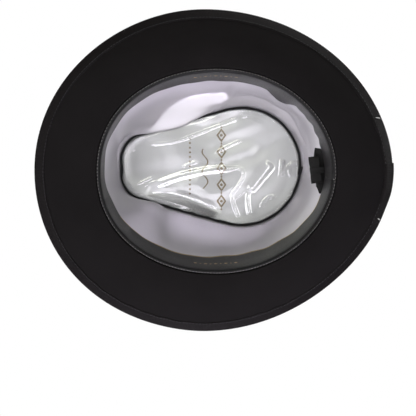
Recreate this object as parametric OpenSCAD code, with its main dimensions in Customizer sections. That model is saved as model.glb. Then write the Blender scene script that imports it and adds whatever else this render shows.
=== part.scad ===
// Felt dress hat with a teardrop crown, a rolled and ribbon-bound brim, a
// ribbon band with a flat side bow, a leather sweatband and a satin lining
// with a clear tip protector.
//
// The hat stands as it is worn: +Z runs up through the crown, the front of
// the brim points to -Y and the wearer's left is +X. The origin is the middle
// of the head opening, on the flat ring of the brim that the hat stands on.

/* [Head opening] */
// Length of the opening at the sewn edge of the sweatband, front to back
open_len = 204; // [196:1:212]
// Width of the opening at the sewn edge of the sweatband
open_wid = 174.4; // [168:0.2:182]
// Squareness of the front of the oval (2 is a true ellipse)
open_front_n = 2.13; // [2:0.01:2.2]
// Squareness of the back of the oval
open_back_n = 1.98; // [1.9:0.01:2.1]

/* [Brim] */
// Reach of the brim in front of the middle of the opening
brim_front = 153.4; // [148:0.2:162]
// Reach of the brim behind the middle of the opening
brim_back = 152.4; // [146:0.2:158]
// Reach of the brim at the wearer's left
brim_left = 136.6; // [132:0.2:146]
// Reach of the brim at the wearer's right
brim_right = 137.8; // [132:0.2:146]
// How far the edge rises at the front
lift_front = 5; // [2:0.5:10]
// How far the edge rises at both sides
lift_side = 16; // [6:0.5:24]
// How far the edge rises at the back
lift_back = 20; // [8:0.5:26]
// Width of the flat ring round the opening that the hat stands on
rest_ring = 7; // [5:0.5:10]

/* [Crown] */
// Height of the crown's crest above the flat ring, inside, at the front
crest_front = 117; // [112:1:122]
// Height of the crest, inside, at the back
crest_back = 110; // [106:1:118]
// Height of the underside of the teardrop dent
dent_floor = 97.5; // [96.5:0.5:100]
// Depth of the two front pinches
pinch = 9; // [4:0.5:10]
// Thickness of the felt
felt_t = 2.4; // [2:0.1:2.6]

/* [Edge binding] */
// Width of the folded ribbon on each face of the brim
bind_w = 7.4; // [6:0.2:9]
// Thickness of the binding ribbon
bind_t = 0.7; // [0.5:0.1:0.9]
// Spacing of the binding stitches, in degrees round the brim
bind_pitch = 2; // [2:1:5]

/* [Hatband and bow] */
// Width of the grosgrain hatband
band_w = 38; // [32:1:42]
// Thickness of the hatband
band_t = 0.8; // [0.6:0.1:1]
// Width of the bow's wrap
wrap_w = 13; // [10:0.5:16]
// Length of each loop of the bow
loop_len = 31; // [24:1:36]
// Length of the bow's tail behind the wrap
tail_len = 44; // [40:1:50]

/* [Sweatband] */
// Height of the leather sweatband
sweat_h = 35; // [30:1:38]
// Thickness of the leather
sweat_t = 1; // [0.8:0.1:1.2]
// Radius of the plastic reed in the sewn edge
reed_r = 0.9; // [0.7:0.05:0.95]
// How far the free edge leans in at the front and the back
lean_ends = 1.6; // [1:0.1:3]
// How far the free edge leans in at the sides
lean_sides = 6.4; // [4:0.1:8]
// How far the free edge bulges in behind the wearer's left temple
bulge = 5; // [0:0.5:6]

/* [Lining] */
// Height of the lining's tip above the flat ring
tip_z = 92; // [90:0.5:93]
// Radius of the round back of the tip
tip_back_r = 53; // [50:0.2:55]
// Radius of the two front corners of the tip
tip_front_r = 23; // [16:0.5:28]
// Radius of the piping round the tip
piping_r = 1.1; // [1:0.1:1.5]
// Thickness of the satin
satin_t = 0.6; // [0.4:0.1:0.8]
// Thickness of the clear protector
vinyl_t = 0.4; // [0.3:0.05:0.5]

/* [Hidden] */

SEG = 72;                       // columns round the hat
STEP = 360 / SEG;
crest_mid = 114;                // nominal crest height, for the levels of the wall
pole_y = 10;                    // where the rings of the dent close
brim_c = -9.3;                  // centre of the brim's outline, along Y
pinch_at = 33;                  // direction of each pinch from the front

// ---- plain functions -------------------------------------------------------

// Unit direction in plan: 0 front, 90 wearer's left, 180 back.
function dir(a) = [sin(a), -cos(a), 0];
function mix(a, b, t) = a + (b - a) * t;
function clamp01(t) = min(1, max(0, t));
function ease(t) = let (u = clamp01(t)) u * u * (3 - 2 * u);
function unit(v) = v / norm(v);
// Signed difference of two directions, -180 to 180.
function turn(a, b) = ((a - b + 540) % 360) - 180;
function bell(x, w) = exp(-(x / w) * (x / w));

// Superellipse radius with its own reach in each quarter.
function oval_r(a, front, back, left, right, n) =
    let (u = cos(a) > 0 ? front : back, w = sin(a) > 0 ? left : right)
    pow(pow(abs(cos(a)) / u, n) + pow(abs(sin(a)) / w, n), -1 / n);

// Straight-line interpolation in a table of [key, value] rows.
function table(t, rows, i = 0) =
    i >= len(rows) - 2 || t <= rows[i + 1][0]
        ? mix(rows[i][1], rows[i + 1][1],
              clamp01((t - rows[i][0]) / (rows[i + 1][0] - rows[i][0])))
        : table(t, rows, i + 1);

// ---- head opening ----------------------------------------------------------

function open_r(a) =
    let (n = mix(open_back_n, open_front_n, (1 + cos(a)) / 2))
    oval_r(a, open_len / 2, open_len / 2, open_wid / 2, open_wid / 2, n);

// ---- lining tip and crest: a big round back and two small front corners ----

tip_back_y = 80.6 - tip_back_r;
tip_front_y = -81.6 + tip_front_r;
tip_front_x = 30 - tip_front_r;

function tip_support(a) =
    let (d = dir(a))
    max(d[1] * tip_back_y + tip_back_r,
        abs(d[0]) * tip_front_x + d[1] * tip_front_y + tip_front_r);

function tip_r(a, off = 0) =
    min([for (k = [0:4:356]) let (c = cos(a - k)) if (c > 0.1) (tip_support(k) + off) / c]);

// ---- brim ------------------------------------------------------------------

function brim_edge(a) =
    let (wf = (1 + cos(a)) / 2, wl = (1 + sin(a)) / 2,
         n = wf * mix(2.07, 1.96, wl) + (1 - wf) * mix(1.82, 1.98, wl))
    oval_r(a, brim_front + brim_c, brim_back - brim_c, brim_left, brim_right, n)
        * dir(a) + [0, brim_c, 0];

function lift(a) =
    lift_front * pow(max(0, cos(a)), 2)
    + lift_side * pow(sin(a), 2)
    + lift_back * pow(max(0, -cos(a)), 2);

// Underside of the brim: s is 0 at the opening and 1 at the edge.
function brim_under(s, a) =
    let (i = (open_r(a) + 1.2) * dir(a), o = brim_edge(a),
         flat = rest_ring / norm(o - i))
    mix(i, o, s) + [0, 0, lift(a) * pow(max(0, (s - flat) / (1 - flat)), 1.9)];

function brim_normal(s, a) =
    unit(cross(brim_under(s + 0.01, a) - brim_under(s - 0.01, a),
               brim_under(s, a + 1) - brim_under(s, a - 1)));

// ---- crown -----------------------------------------------------------------

function crest(a) = mix(crest_back, crest_front, (1 + cos(a)) / 2);

// How far the wall has moved from the opening to the crest at each level.
WALL = [[0, 0], [0.05, 0.004], [0.12, 0.02], [0.2, 0.045], [0.3, 0.09],
        [0.4, 0.15], [0.5, 0.225], [0.6, 0.315], [0.7, 0.42], [0.8, 0.54],
        [0.88, 0.65], [0.94, 0.76], [0.98, 0.87], [1, 1]];

function pinch_in(w, a) =
    pinch * bell(w - 0.8, 0.22)
    * (bell(turn(a, pinch_at), 15) + bell(turn(a, -pinch_at), 15));

function wall_r(w, a) = mix(open_r(a), tip_r(a), table(w, WALL)) - pinch_in(w, a);
function wall_z(w, a) = w * crest_mid + (crest(a) - crest_mid) * ease((w - 0.4) / 0.6);

function wall_in(w, a) = wall_r(w, a) * dir(a) + [0, 0, wall_z(w, a)];

// The dent: v is 0 on the crest and 1 at the pole.
function dent_in(v, a) =
    let (c = wall_in(1, a), p = [0, pole_y, 0])
    [mix(c[0], p[0], v), mix(c[1], p[1], v),
     mix(c[2], dent_floor + 3 * ease((v - 0.45) / 0.55), ease((v - 0.02) / 0.42))];

// A point outside the crown wall: off is measured from the felt's outer face.
function outside(z, a, off) =
    (wall_r(z / crest_mid, a) + felt_t * 1.03 + off) * dir(a) + [0, 0, z];

// ---- meshes ----------------------------------------------------------------

// Side faces between rows of equal length; wrap closes each row on itself.
function skin(rows, cols, wrap, base = 0) =
    [for (j = [0:rows - 2], i = [0:cols - (wrap ? 1 : 2)])
        let (k = (i + 1) % cols, a = base + j * cols + i, b = base + j * cols + k,
             c = a + cols, d = b + cols)
        each [[a, d, b], [a, c, d]]];

// A closed band: section rows go round it once and the band closes on itself.
module ring_band(rows) {
    m = len(rows);
    n = len(rows[0]);
    polyhedron(
        points = [for (r = rows) each r],
        faces = [for (j = [0:m - 1], i = [0:n - 1])
            let (j2 = (j + 1) % m, k = (i + 1) % n,
                 a = j * n + i, b = j * n + k, c = j2 * n + i, d = j2 * n + k)
            each [[a, b, d], [a, d, c]]]);
}

// An open strip of the same kind, capped at both ends by a fan of quads.
module open_band(rows) {
    m = len(rows);
    n = len(rows[0]);
    h = m / 2;
    polyhedron(
        points = [for (r = rows) each r],
        faces = concat(
            [for (j = [0:m - 1], i = [0:n - 2])
                let (j2 = (j + 1) % m,
                     a = j * n + i, b = j * n + i + 1, c = j2 * n + i, d = j2 * n + i + 1)
                each [[a, b, d], [a, d, c]]],
            [for (j = [0:h - 2])
                let (a = j * n, b = (j + 1) * n, c = (m - 2 - j) * n, d = (m - 1 - j) * n)
                each [[a, b, c], [a, c, d]]],
            [for (j = [0:h - 2])
                let (a = j * n + n - 1, b = (j + 1) * n + n - 1,
                     c = (m - 2 - j) * n + n - 1, d = (m - 1 - j) * n + n - 1)
                each [[a, c, b], [a, d, c]]]));
}

// Many small stitches in one go. Each item is [centre, along, across, up]:
// half-axes of a lozenge-shaped grain of thread.
module grains(items) {
    polyhedron(
        points = [for (g = items) let (w = cross(g[1], g[2]) * g[3] > 0 ? -g[2] : g[2]) each
            [g[0] - g[1], g[0] + g[1], g[0] - w, g[0] + w, g[0] - g[3], g[0] + g[3]]],
        faces = [for (q = [0:len(items) - 1]) let (b = 6 * q) each
            [[b, b + 4, b + 2], [b + 2, b + 4, b + 1], [b + 1, b + 4, b + 3], [b + 3, b + 4, b],
             [b, b + 2, b + 5], [b + 2, b + 1, b + 5], [b + 1, b + 3, b + 5], [b + 3, b, b + 5]]]);
}

// A slab that follows the outside of the crown from direction a0 to a1 and
// height z0 to z1. lo and hi are functions of (u, v) in 0..1 giving the depth
// of its two faces; a1 may shift with v to shape the cut end.
module wall_slab(a0, a1, z0, z1, nu, nv, lo, hi, cut) {
    lower = [for (j = [0:nv]) [for (i = [0:nu])
        let (u = i / nu, v = j / nv, a = mix(a0, a1 + cut(v), u))
        outside(mix(z0, z1, v), a, lo(u, v))]];
    upper = [for (j = [0:nv]) [for (i = [0:nu])
        let (u = i / nu, v = nv == 0 ? 0 : j / nv, a = mix(a0, a1 + cut(v), u))
        outside(mix(z0, z1, v), a, hi(u, v))]];
    rows = concat(lower, [for (j = [nv:-1:0]) upper[j]]);
    if (a1 < a0) open_band([for (r = rows) [for (i = [nu:-1:0]) r[i]]]);
    else open_band(rows);
}

module oval_prism(off, h) {
    linear_extrude(h) polygon([for (i = [0:SEG - 1])
        let (p = (open_r(i * STEP) + off) * dir(i * STEP)) [p[0], p[1]]]);
}

module tip_plate(off, h) {
    linear_extrude(h) polygon([for (i = [0:SEG - 1])
        let (p = tip_r(i * STEP, off) * dir(i * STEP)) [p[0], p[1]]]);
}

// ---- felt ------------------------------------------------------------------

BRIM_S = [1, 0.93, 0.86, 0.72, 0.58, 0.44, 0.3];
WALL_W = [0.012, 0.05, 0.12, 0.2, 0.3, 0.4, 0.5, 0.6, 0.7, 0.8, 0.88, 0.94, 0.98, 1];
DENT_V = [0.09, 0.18, 0.28, 0.4, 0.6, 0.8];

module felt_body() {
    color([0.1, 0.095, 0.1]) union() {
        angles = [for (i = [0:SEG - 1]) i * STEP];
        inner = concat(
            [for (s = BRIM_S) [for (a = angles) brim_under(s, a) + [0, 0, 0.2]]],
            [[for (a = angles) brim_under(0.12, a) + [0, 0, 0.2]]],
            [[for (a = angles) (open_r(a) + 0.5) * dir(a) + [0, 0, 0.2]]],
            [for (w = WALL_W) [for (a = angles) wall_in(w, a)]],
            [for (v = DENT_V) [for (a = angles) dent_in(v, a)]]);
        m = len(inner);
        outer = [for (j = [0:m - 1]) [for (i = [0:SEG - 1])
            let (p = inner[j][i],
                 q = inner[j][(i + 1) % SEG] - inner[j][(i + SEG - 1) % SEG],
                 r = inner[min(j + 1, m - 1)][i] - inner[max(j - 1, 0)][i])
            p + felt_t * unit(cross(q, r))]];
        rows = concat([for (j = [m - 1:-1:0]) inner[j]], outer);
        pts = concat([for (r = rows) each r],
                     [dent_in(1, 0), dent_in(1, 0) + [0, 0, felt_t]]);
        last = 2 * m * SEG;
        polyhedron(
            points = pts,
            faces = concat(
                skin(2 * m, SEG, true),
                [for (i = [0:SEG - 1]) [last, i, (i + 1) % SEG]],
                [for (i = [0:SEG - 1])
                    let (b = (2 * m - 1) * SEG) [last + 1, b + (i + 1) % SEG, b + i]]));
        // The flat ring that the hat stands on.
        linear_extrude(1.4) difference() {
            polygon([for (a = angles) let (p = (open_r(a) + rest_ring) * dir(a)) [p[0], p[1]]]);
            polygon([for (a = angles) let (p = (open_r(a) + 0.7) * dir(a)) [p[0], p[1]]]);
        }
    }
}

// ---- edge binding ----------------------------------------------------------

bind_s = bind_w / 53;           // the binding's width as a share of the brim
LAP_END = 177.8;                // where the outer end of the ribbon stops

function bind_raise(k) = (bind_t + 0.12) * ease((k - 70) / 2);

module brim_binding() {
    ks = concat([for (k = [0:SEG + 1]) k], [SEG + (185 - LAP_END) / STEP]);
    S = [1 - bind_s, 0.93, 1];
    function face_pt(s, k, side, d) =
        let (a = 185 - k * STEP, n = brim_normal(s, a), g = 0.12 + bind_raise(k) + d,
             p = brim_under(s, a) + [0, 0, 0.2],
             e = s < 1 ? [0, 0, 0] : unit([dir(a)[0], dir(a)[1], 0]) * g)
        side < 0 ? p - n * g + e : p + n * (felt_t + g) + e;
    lo = [for (s = S) [for (k = ks) face_pt(s, k, -1, bind_t)]];
    hi = [for (s = [S[2], S[1], S[0]]) [for (k = ks) face_pt(s, k, 1, bind_t)]];
    lo_in = [for (s = S) [for (k = ks) face_pt(s, k, -1, 0)]];
    hi_in = [for (s = [S[2], S[1], S[0]]) [for (k = ks) face_pt(s, k, 1, 0)]];
    inner = concat(lo_in, hi_in);
    color([0.07, 0.07, 0.075])
        open_band(concat(lo, hi, [for (j = [5:-1:0]) inner[j]]));
}

module binding_stitches() {
    color([0.16, 0.16, 0.17]) grains([for (a = [0:bind_pitch:359])
        let (s = 1 - bind_s * 0.86, n = brim_normal(s, a),
             p = brim_under(s, a) + [0, 0, 0.2] - n * (0.12 + bind_t),
             d = unit(brim_under(s, a + 1) - brim_under(s, a - 1)))
        [p, d * 1.2, cross(n, d) * 0.22, n * 0.2]]);
}

// Two light tack threads at the rolled edge, behind each ear. Each row is
// [direction, share of the brim, half its length, course in plan].
TACKS = [[163.1, 0.95, 2.7, [0.08, 1, 0]], [195.7, 0.968, 1.5, [-0.5, 0.86, 0]]];

module binding_tacks() {
    color([0.95, 0.95, 0.93]) grains([for (t = TACKS)
        let (n = brim_normal(t[1], t[0]),
             p = brim_under(t[1], t[0]) + [0, 0, 0.2] - n * (0.12 + bind_t + 0.15),
             d = unit(t[3] - n * (n * t[3])))
        [p, d * t[2], cross(n, d) * 0.35, n * 0.25]]);
}

// ---- outer band and bow ----------------------------------------------------

band_z = 4.6;
BAND = [0, 0.25, 0.5, 0.75, 1];

module hatband() {
    color([0.06, 0.06, 0.065]) ring_band(concat(
        [for (v = BAND) [for (i = [0:SEG - 1]) outside(band_z + v * band_w, i * STEP, 0.25)]],
        [for (v = [1, 0.75, 0.5, 0.25, 0])
            [for (i = [0:SEG - 1]) outside(band_z + v * band_w, i * STEP, 0.25 + band_t)]]));
}

bow_a = 92;                     // direction of the bow's wrap
bow_d = 0.25 + band_t + 0.2;    // depth of the bow's back face
mm_deg = 360 / 620;             // degrees for one millimetre round the band

module hatband_bow_front_loop() {
    color([0.075, 0.075, 0.08]) wall_slab(
        bow_a - wrap_w / 2 * mm_deg, bow_a - (wrap_w / 2 + loop_len) * mm_deg,
        band_z + 1, band_z + band_w - 1, 6, 4,
        function (u, v) bow_d + 1,
        function (u, v) bow_d + 2.6 + 2.6 * sin(180 * min(1, u * 0.75 + 0.25)) * (0.75 + 0.25 * sin(180 * v)),
        function (v) 0);
}

module hatband_bow_back_loop() {
    color([0.075, 0.075, 0.08]) wall_slab(
        bow_a + wrap_w / 2 * mm_deg, bow_a + (wrap_w / 2 + loop_len) * mm_deg,
        band_z + 1, band_z + band_w - 1, 6, 4,
        function (u, v) bow_d + 1,
        function (u, v) bow_d + 2.6 + 2.6 * sin(180 * min(1, u * 0.75 + 0.25)) * (0.75 + 0.25 * sin(180 * v)),
        function (v) 0);
}

// The tail lies flat under the back loop and ends in a swallow tail.
module hatband_bow_tail() {
    color([0.065, 0.065, 0.07]) wall_slab(
        bow_a, bow_a + (wrap_w / 2 + tail_len) * mm_deg,
        band_z + 0.6, band_z + band_w - 0.6, 8, 4,
        function (u, v) bow_d,
        function (u, v) bow_d + 0.8,
        function (v) -9 * mm_deg * (1 - abs(2 * v - 1)));
}

module hatband_bow_wrap() {
    color([0.07, 0.07, 0.075]) wall_slab(
        bow_a - (wrap_w / 2 - 0.3) * mm_deg, bow_a + (wrap_w / 2 - 0.3) * mm_deg,
        band_z - 0.4, band_z + band_w + 0.4, 4, 4,
        function (u, v) bow_d + 1,
        function (u, v) bow_d + 3.8 + 0.8 * sin(180 * u),
        function (v) 0);
}

module hatband_tacks() {
    color([0.2, 0.2, 0.21]) grains([for (a = [18, 56, 128, 162, 204, 252, 306], v = [0, 1])
        let (p = outside(band_z + (v == 0 ? 1.2 : band_w - 1.2), a, 0.25 + band_t),
             d = unit(cross([0, 0, 1], dir(a))))
        [p, d * 1.1, [0, 0, 0.25], dir(a) * 0.2]]);
}

// ---- sweatband -------------------------------------------------------------

function lean(a) =
    lean_ends + (lean_sides - lean_ends) * pow(sin(a), 2) + bulge * bell(turn(a, 134), 9);

// Middle of the leather: t runs from 0 at the sewn edge to 1 at the free edge.
SWEAT = [[0, -0.5, 0.95], [0.05, -1.6, 0.8], [0.1, -2.7, 1.4], [0.15, -3.05, 3],
         [0.35, -3.1, 9], [0.55, -3.1, 16], [0.78, -3.1, 25], [1, -3.1, 35]];

function sweat_mid(j, a) =
    let (q = SWEAT[j], z = q[2] <= 3 ? q[2] : 3 + (q[2] - 3) * (sweat_h - 3) / 32)
    (open_r(a) + q[1] - lean(a) * pow(max(0, (z - 3) / (sweat_h - 3)), 1.5)) * dir(a) + [0, 0, z];

// Across the leather, away from the head.
function sweat_side(j, a) =
    let (m = len(SWEAT), p = sweat_mid(min(j + 1, m - 1), a) - sweat_mid(max(j - 1, 0), a),
         h = [dir(a)[0] * p[2], dir(a)[1] * p[2], -(p * dir(a))])
    unit(h);

// A point on or above the inner (head) face of the leather at height z.
function sweat_face(z, a, d) =
    (open_r(a) - 3.1 - lean(a) * pow(max(0, (z - 3) / (sweat_h - 3)), 1.5) - sweat_t / 2 - d)
        * dir(a) + [0, 0, z];

seam_a = 183.9;                 // direction of the leather's back joint

module sweatband() {
    // The strip starts and ends at the joint, with a hair's gap between.
    as = concat([seam_a + 0.12], [for (k = [1:SEG - 1]) seam_a + k * STEP], [seam_a + 359.88]);
    m = len(SWEAT);
    color([0.24, 0.235, 0.24]) open_band(concat(
        [for (j = [0:m - 1]) [for (a = as) sweat_mid(j, a) - sweat_side(j, a) * sweat_t / 2]],
        [for (j = [m - 1:-1:0]) [for (a = as) sweat_mid(j, a) + sweat_side(j, a) * sweat_t / 2]]));
}

module tube_round(r, n, pt) {
    ring_band([for (q = [0:n - 1]) [for (i = [0:SEG - 1])
        let (a = i * STEP) pt(a) + r * (cos(q * 360 / n) * dir(a) - [0, 0, sin(q * 360 / n)])]]);
}

module sweatband_reed() {
    color([0.85, 0.85, 0.83]) tube_round(reed_r, 8,
        function (a) (open_r(a) - 1.42) * dir(a) + [0, 0, 2.45]);
}

module sweatband_stitching() {
    color([0.62, 0.61, 0.6]) grains([for (k = [0:149])
        let (a = k * 2.4, n = dir(a), d = unit(cross([0, 0, 1], n)))
        [(open_r(a) - 0.9) * n + [0, 0, 0.32], d * 1.35, n * 0.28, [0, 0, 0.2]]]);
}

module sweatband_gilt_edge() {
    // The line shows from the front of the right side round to the back.
    as = [for (k = [2:30]) seam_a + k * STEP];
    rows = [[sweat_h - 1.6, 0.17], [sweat_h - 1.0, 0.17], [sweat_h - 1.0, 0.05], [sweat_h - 1.6, 0.05]];
    color([0.55, 0.45, 0.26]) open_band([for (r = rows) [for (a = as) sweat_face(r[0], a, r[1])]]);
}

// A short row of plain lozenges on the leather at each temple.
module sweatband_foil_marks() {
    color([0.72, 0.6, 0.34]) grains([for (side = [90, 270], k = [-4:4])
        let (a = side + k * 3.1, z = 19,
             p = sweat_face(z, a, 0.12), n = dir(a), d = unit(cross([0, 0, 1], n)),
             up = unit(sweat_face(z + 2, a, 0) - sweat_face(z - 2, a, 0)))
        [p, d * (k % 2 == 0 ? 1.7 : 0.8), up * (k % 2 == 0 ? 0.9 : 0.6), n * 0.12]]);
}

module sweatband_joint_tape() {
    as = [for (k = [-2:2]) seam_a + k * 2];
    function back(z, a, d) =
        (open_r(a) - 3.1 - lean(a) * pow(max(0, (z - 3) / (sweat_h - 3)), 1.5) + sweat_t / 2 + d)
            * dir(a) + [0, 0, z];
    zs = [5, 12, 19, 26, sweat_h - 2];
    color([0.1, 0.1, 0.1]) open_band(concat(
        [for (z = zs) [for (a = as) back(z, a, 0.3)]],
        [for (j = [4:-1:0]) [for (a = as) back(zs[j], a, 0.7)]]));
}

module sweatband_seam_stitches() {
    color([0.8, 0.8, 0.78]) grains([for (z = [1:9])
        let (zz = 3 + (sweat_h - 8) * z / 9, p = sweat_face(zz, seam_a, 0.05),
             n = dir(seam_a), d = unit(cross([0, 0, 1], n)))
        [p, d * 1.3 + [0, 0, z % 2 == 0 ? 0.8 : -0.8], [0, 0, 0.25], n * 0.2]]);
}

// ---- small bow inside the back ---------------------------------------------

bow_z = sweat_h + 1.6;

module sweatband_bow_loop() {
    // One flat loop of ribbon, 10 wide, lying level in front of the back joint.
    color([0.05, 0.05, 0.055]) translate([-0.4, 83.4, bow_z]) rotate([-90, 0, -7])
        linear_extrude(9.6) difference() {
            union() {
                translate([-11, 0]) circle(r = 1.8, $fn = 24);
                translate([11, 0]) circle(r = 1.8, $fn = 24);
                square([22, 3.6], center = true);
            }
            union() {
                translate([-11, 0]) circle(r = 1.1, $fn = 24);
                translate([11, 0]) circle(r = 1.1, $fn = 24);
                square([22, 2.2], center = true);
            }
        }
}

module sweatband_bow_tails() {
    color([0.05, 0.05, 0.055]) translate([0, 0, bow_z + 2.2]) linear_extrude(0.7) union() {
        polygon([[1, 84.6], [17.2, 89.4], [18.6, 94.6], [1, 92]]);
        polygon([[-1, 92], [-16.6, 95.6], [-17.6, 92.6], [-22.6, 90.4], [-19, 87], [-1, 84.6]]);
    }
}

module sweatband_bow_knot() {
    color([0.06, 0.06, 0.065]) translate([0.2, 88.2, bow_z]) rotate([0, 0, -7]) difference() {
        translate([-3, -5.8, -2.6]) cube([6, 11.6, 6.2]);
        translate([-3.5, -5.2, -2]) cube([7, 10.4, 5]);
    }
}

// ---- lining ----------------------------------------------------------------

lin_z0 = 20;                    // hem of the side lining, tucked behind the leather
lin_z1 = sweat_h + 2;           // where it leaves the felt
lin_z2 = tip_z - 0.4;           // its sewn top edge

function hug_r(z, a) = wall_r(z / crest_mid, a) - satin_t - 0.3;

// How far the loose satin stands out from a straight line: more at the sides,
// and pressed inward at the two pinches.
function slack(a) =
    2.5 + 5 * pow(sin(a), 2)
    - 7 * (bell(turn(a, pinch_at), 15) + bell(turn(a, -pinch_at), 15));

function lining_pt(z, a, d) =
    let (t = (z - lin_z1) / (lin_z2 - lin_z1),
         r = t <= 0 ? hug_r(z, a)
             : mix(hug_r(lin_z1, a), tip_r(a, piping_r + 0.9), t)
               + slack(a) * sin(180 * pow(t, 1.5)))
    (r + d) * dir(a) + [0, 0, z];

module lining_side() {
    Z = concat([lin_z0], [for (t = [0, 0.3, 0.55, 0.75, 0.9, 1]) mix(lin_z1, lin_z2, t)]);
    color([0.66, 0.64, 0.7]) ring_band(concat(
        [for (z = Z) [for (i = [0:SEG - 1]) lining_pt(z, i * STEP, 0)]],
        [for (j = [6:-1:0]) [for (i = [0:SEG - 1]) lining_pt(Z[j], i * STEP, satin_t)]]));
}

module lining_tip() {
    color([0.8, 0.8, 0.82]) translate([0, 0, tip_z]) tip_plate(0, satin_t);
}

module tip_piping() {
    color([0.05, 0.05, 0.055]) tube_round(piping_r, 8,
        function (a) tip_r(a, 0.2) * dir(a) + [0, 0, tip_z - piping_r - 0.1]);
}

module tip_protector() {
    color([0.9, 0.93, 0.95, 0.35]) translate([0, 0, tip_z - 1.6])
        tip_plate(-piping_r - 0.2, vinyl_t);
}

// Plain gilt ornament: a chain of lozenges, a wavy line and a row of dots.
module tip_emblem() {
    color([0.74, 0.62, 0.36]) translate([0, 9, tip_z - 0.35]) linear_extrude(0.2) {
        for (k = [-2:2]) translate([k * 15 - 1.5, 0]) {
            difference() {
                polygon([[-6.4, 0], [0, -4.6], [6.4, 0], [0, 4.6]]);
                polygon([[-4.6, 0], [0, -3.2], [4.6, 0], [0, 3.2]]);
            }
            circle(r = 1, $fn = 16);
        }
        for (k = [-2:3]) translate([k * 15 - 9, 0]) circle(r = 0.6, $fn = 12);
        polygon(concat(
            [for (x = [-20:16]) [x, -15 + 2.6 * sin(x * 20) + 0.4]],
            [for (x = [16:-1:-20]) [x, -15 + 2.6 * sin(x * 20) - 0.4]]));
        for (k = [-6:6]) translate([k * 4.2 + 0.5, -28.7]) circle(r = 0.55, $fn = 12);
    }
}

module lining_tacks() {
    color([0.85, 0.85, 0.85]) grains([for (k = [0:11])
        let (a = 15 + k * 30, n = dir(a), d = unit(cross([0, 0, 1], n)))
        [lining_pt(lin_z0 + 3, a, -0.1), d * 1.4, [0, 0, 0.3], n * 0.25]]);
}

// ---- assembly --------------------------------------------------------------

felt_body();
brim_binding();
binding_stitches();
binding_tacks();
hatband();
hatband_bow_front_loop();
hatband_bow_back_loop();
hatband_bow_tail();
hatband_bow_wrap();
hatband_tacks();
sweatband();
sweatband_reed();
sweatband_stitching();
sweatband_gilt_edge();
sweatband_foil_marks();
sweatband_joint_tape();
sweatband_seam_stitches();
sweatband_bow_loop();
sweatband_bow_tails();
sweatband_bow_knot();
lining_side();
lining_tip();
tip_piping();
tip_protector();
tip_emblem();
lining_tacks();
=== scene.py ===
# Felt dress hat: the looks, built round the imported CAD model.
# Lengths in the shape functions are millimetres; meshes are stored in metres.
import math

import bpy
import numpy as np
from mathutils import Matrix, Vector


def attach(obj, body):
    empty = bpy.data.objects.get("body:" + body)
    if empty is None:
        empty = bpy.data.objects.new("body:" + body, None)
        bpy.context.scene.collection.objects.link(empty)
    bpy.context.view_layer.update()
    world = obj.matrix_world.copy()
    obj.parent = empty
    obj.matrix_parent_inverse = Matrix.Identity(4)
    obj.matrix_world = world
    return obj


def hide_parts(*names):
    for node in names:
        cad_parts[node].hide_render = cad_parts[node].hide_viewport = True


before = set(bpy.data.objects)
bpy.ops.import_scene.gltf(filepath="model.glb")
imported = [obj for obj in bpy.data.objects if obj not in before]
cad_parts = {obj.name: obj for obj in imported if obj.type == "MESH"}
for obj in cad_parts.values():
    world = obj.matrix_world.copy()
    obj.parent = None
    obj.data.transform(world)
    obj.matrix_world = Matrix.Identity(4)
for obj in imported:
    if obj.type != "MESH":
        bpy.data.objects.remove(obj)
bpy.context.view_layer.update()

MM = 0.001

# ---------------------------------------------------------------- functions


def sd(a):
    return np.sin(np.radians(a))


def cd(a):
    return np.cos(np.radians(a))


def dirs(a):
    """Unit direction in plan: 0 front, 90 wearer's left, 180 back."""
    a = np.asarray(a, float)
    return np.stack([sd(a), -cd(a), np.zeros_like(a)], -1)


def mix(a, b, t):
    return a + (b - a) * t


def ease(t):
    u = np.clip(t, 0, 1)
    return u * u * (3 - 2 * u)


def bell(x, w):
    return np.exp(-((x / w) ** 2))


def turn(a, b):
    return ((a - b + 540) % 360) - 180


def unit(v):
    return v / np.maximum(np.linalg.norm(v, axis=-1, keepdims=True), 1e-12)


def curve(x, pts):
    """Monotone cubic through (x, y) pairs."""
    xs, ys = np.array(pts, float).T
    h, d = np.diff(xs), np.diff(ys) / np.diff(xs)
    m = np.zeros_like(xs)
    m[0], m[-1] = d[0], d[-1]
    for i in range(1, len(xs) - 1):
        if d[i - 1] * d[i] > 0:
            w1, w2 = 2 * h[i] + h[i - 1], h[i] + 2 * h[i - 1]
            m[i] = (w1 + w2) / (w1 / d[i - 1] + w2 / d[i])
    x = np.clip(np.asarray(x, float), xs[0], xs[-1])
    i = np.clip(np.searchsorted(xs, x, side="right") - 1, 0, len(xs) - 2)
    t = (x - xs[i]) / h[i]
    return ((1 + 2 * t) * (1 - t) ** 2 * ys[i] + t * (1 - t) ** 2 * h[i] * m[i]
            + t * t * (3 - 2 * t) * ys[i + 1] + t * t * (t - 1) * h[i] * m[i + 1])


def ripple(a, v, seed, n=14, ka=(2, 9), kv=(0.0, 3.0)):
    """Smooth noise, periodic in the direction a; about -1 to 1."""
    r = np.random.RandomState(seed)
    out = 0.0
    for _ in range(n):
        k, m = r.randint(ka[0], ka[1] + 1), r.uniform(kv[0], kv[1])
        out = out + r.uniform(0.5, 1) * np.cos(np.radians(a) * k + 2 * np.pi * m * v + r.uniform(0, 2 * np.pi))
    return out / math.sqrt(0.6 * n)


def plane_noise(x, y, seed, n=24, wave=(8.0, 30.0)):
    """Smooth noise over a plane with wavelengths in millimetres."""
    r = np.random.RandomState(seed)
    out = 0.0
    for _ in range(n):
        t, w = r.uniform(0, 2 * np.pi), r.uniform(*wave)
        out = out + r.uniform(0.5, 1) * np.cos(2 * np.pi * (x * np.cos(t) + y * np.sin(t)) / w + r.uniform(0, 2 * np.pi))
    return out / math.sqrt(0.6 * n)


# ------------------------------------------------- the hat's own dimensions

OPEN_LEN, OPEN_WID = 204.0, 174.4
FELT_T = 2.4
CREST_MID = 114.0
BRIM_C = -9.3


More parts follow.
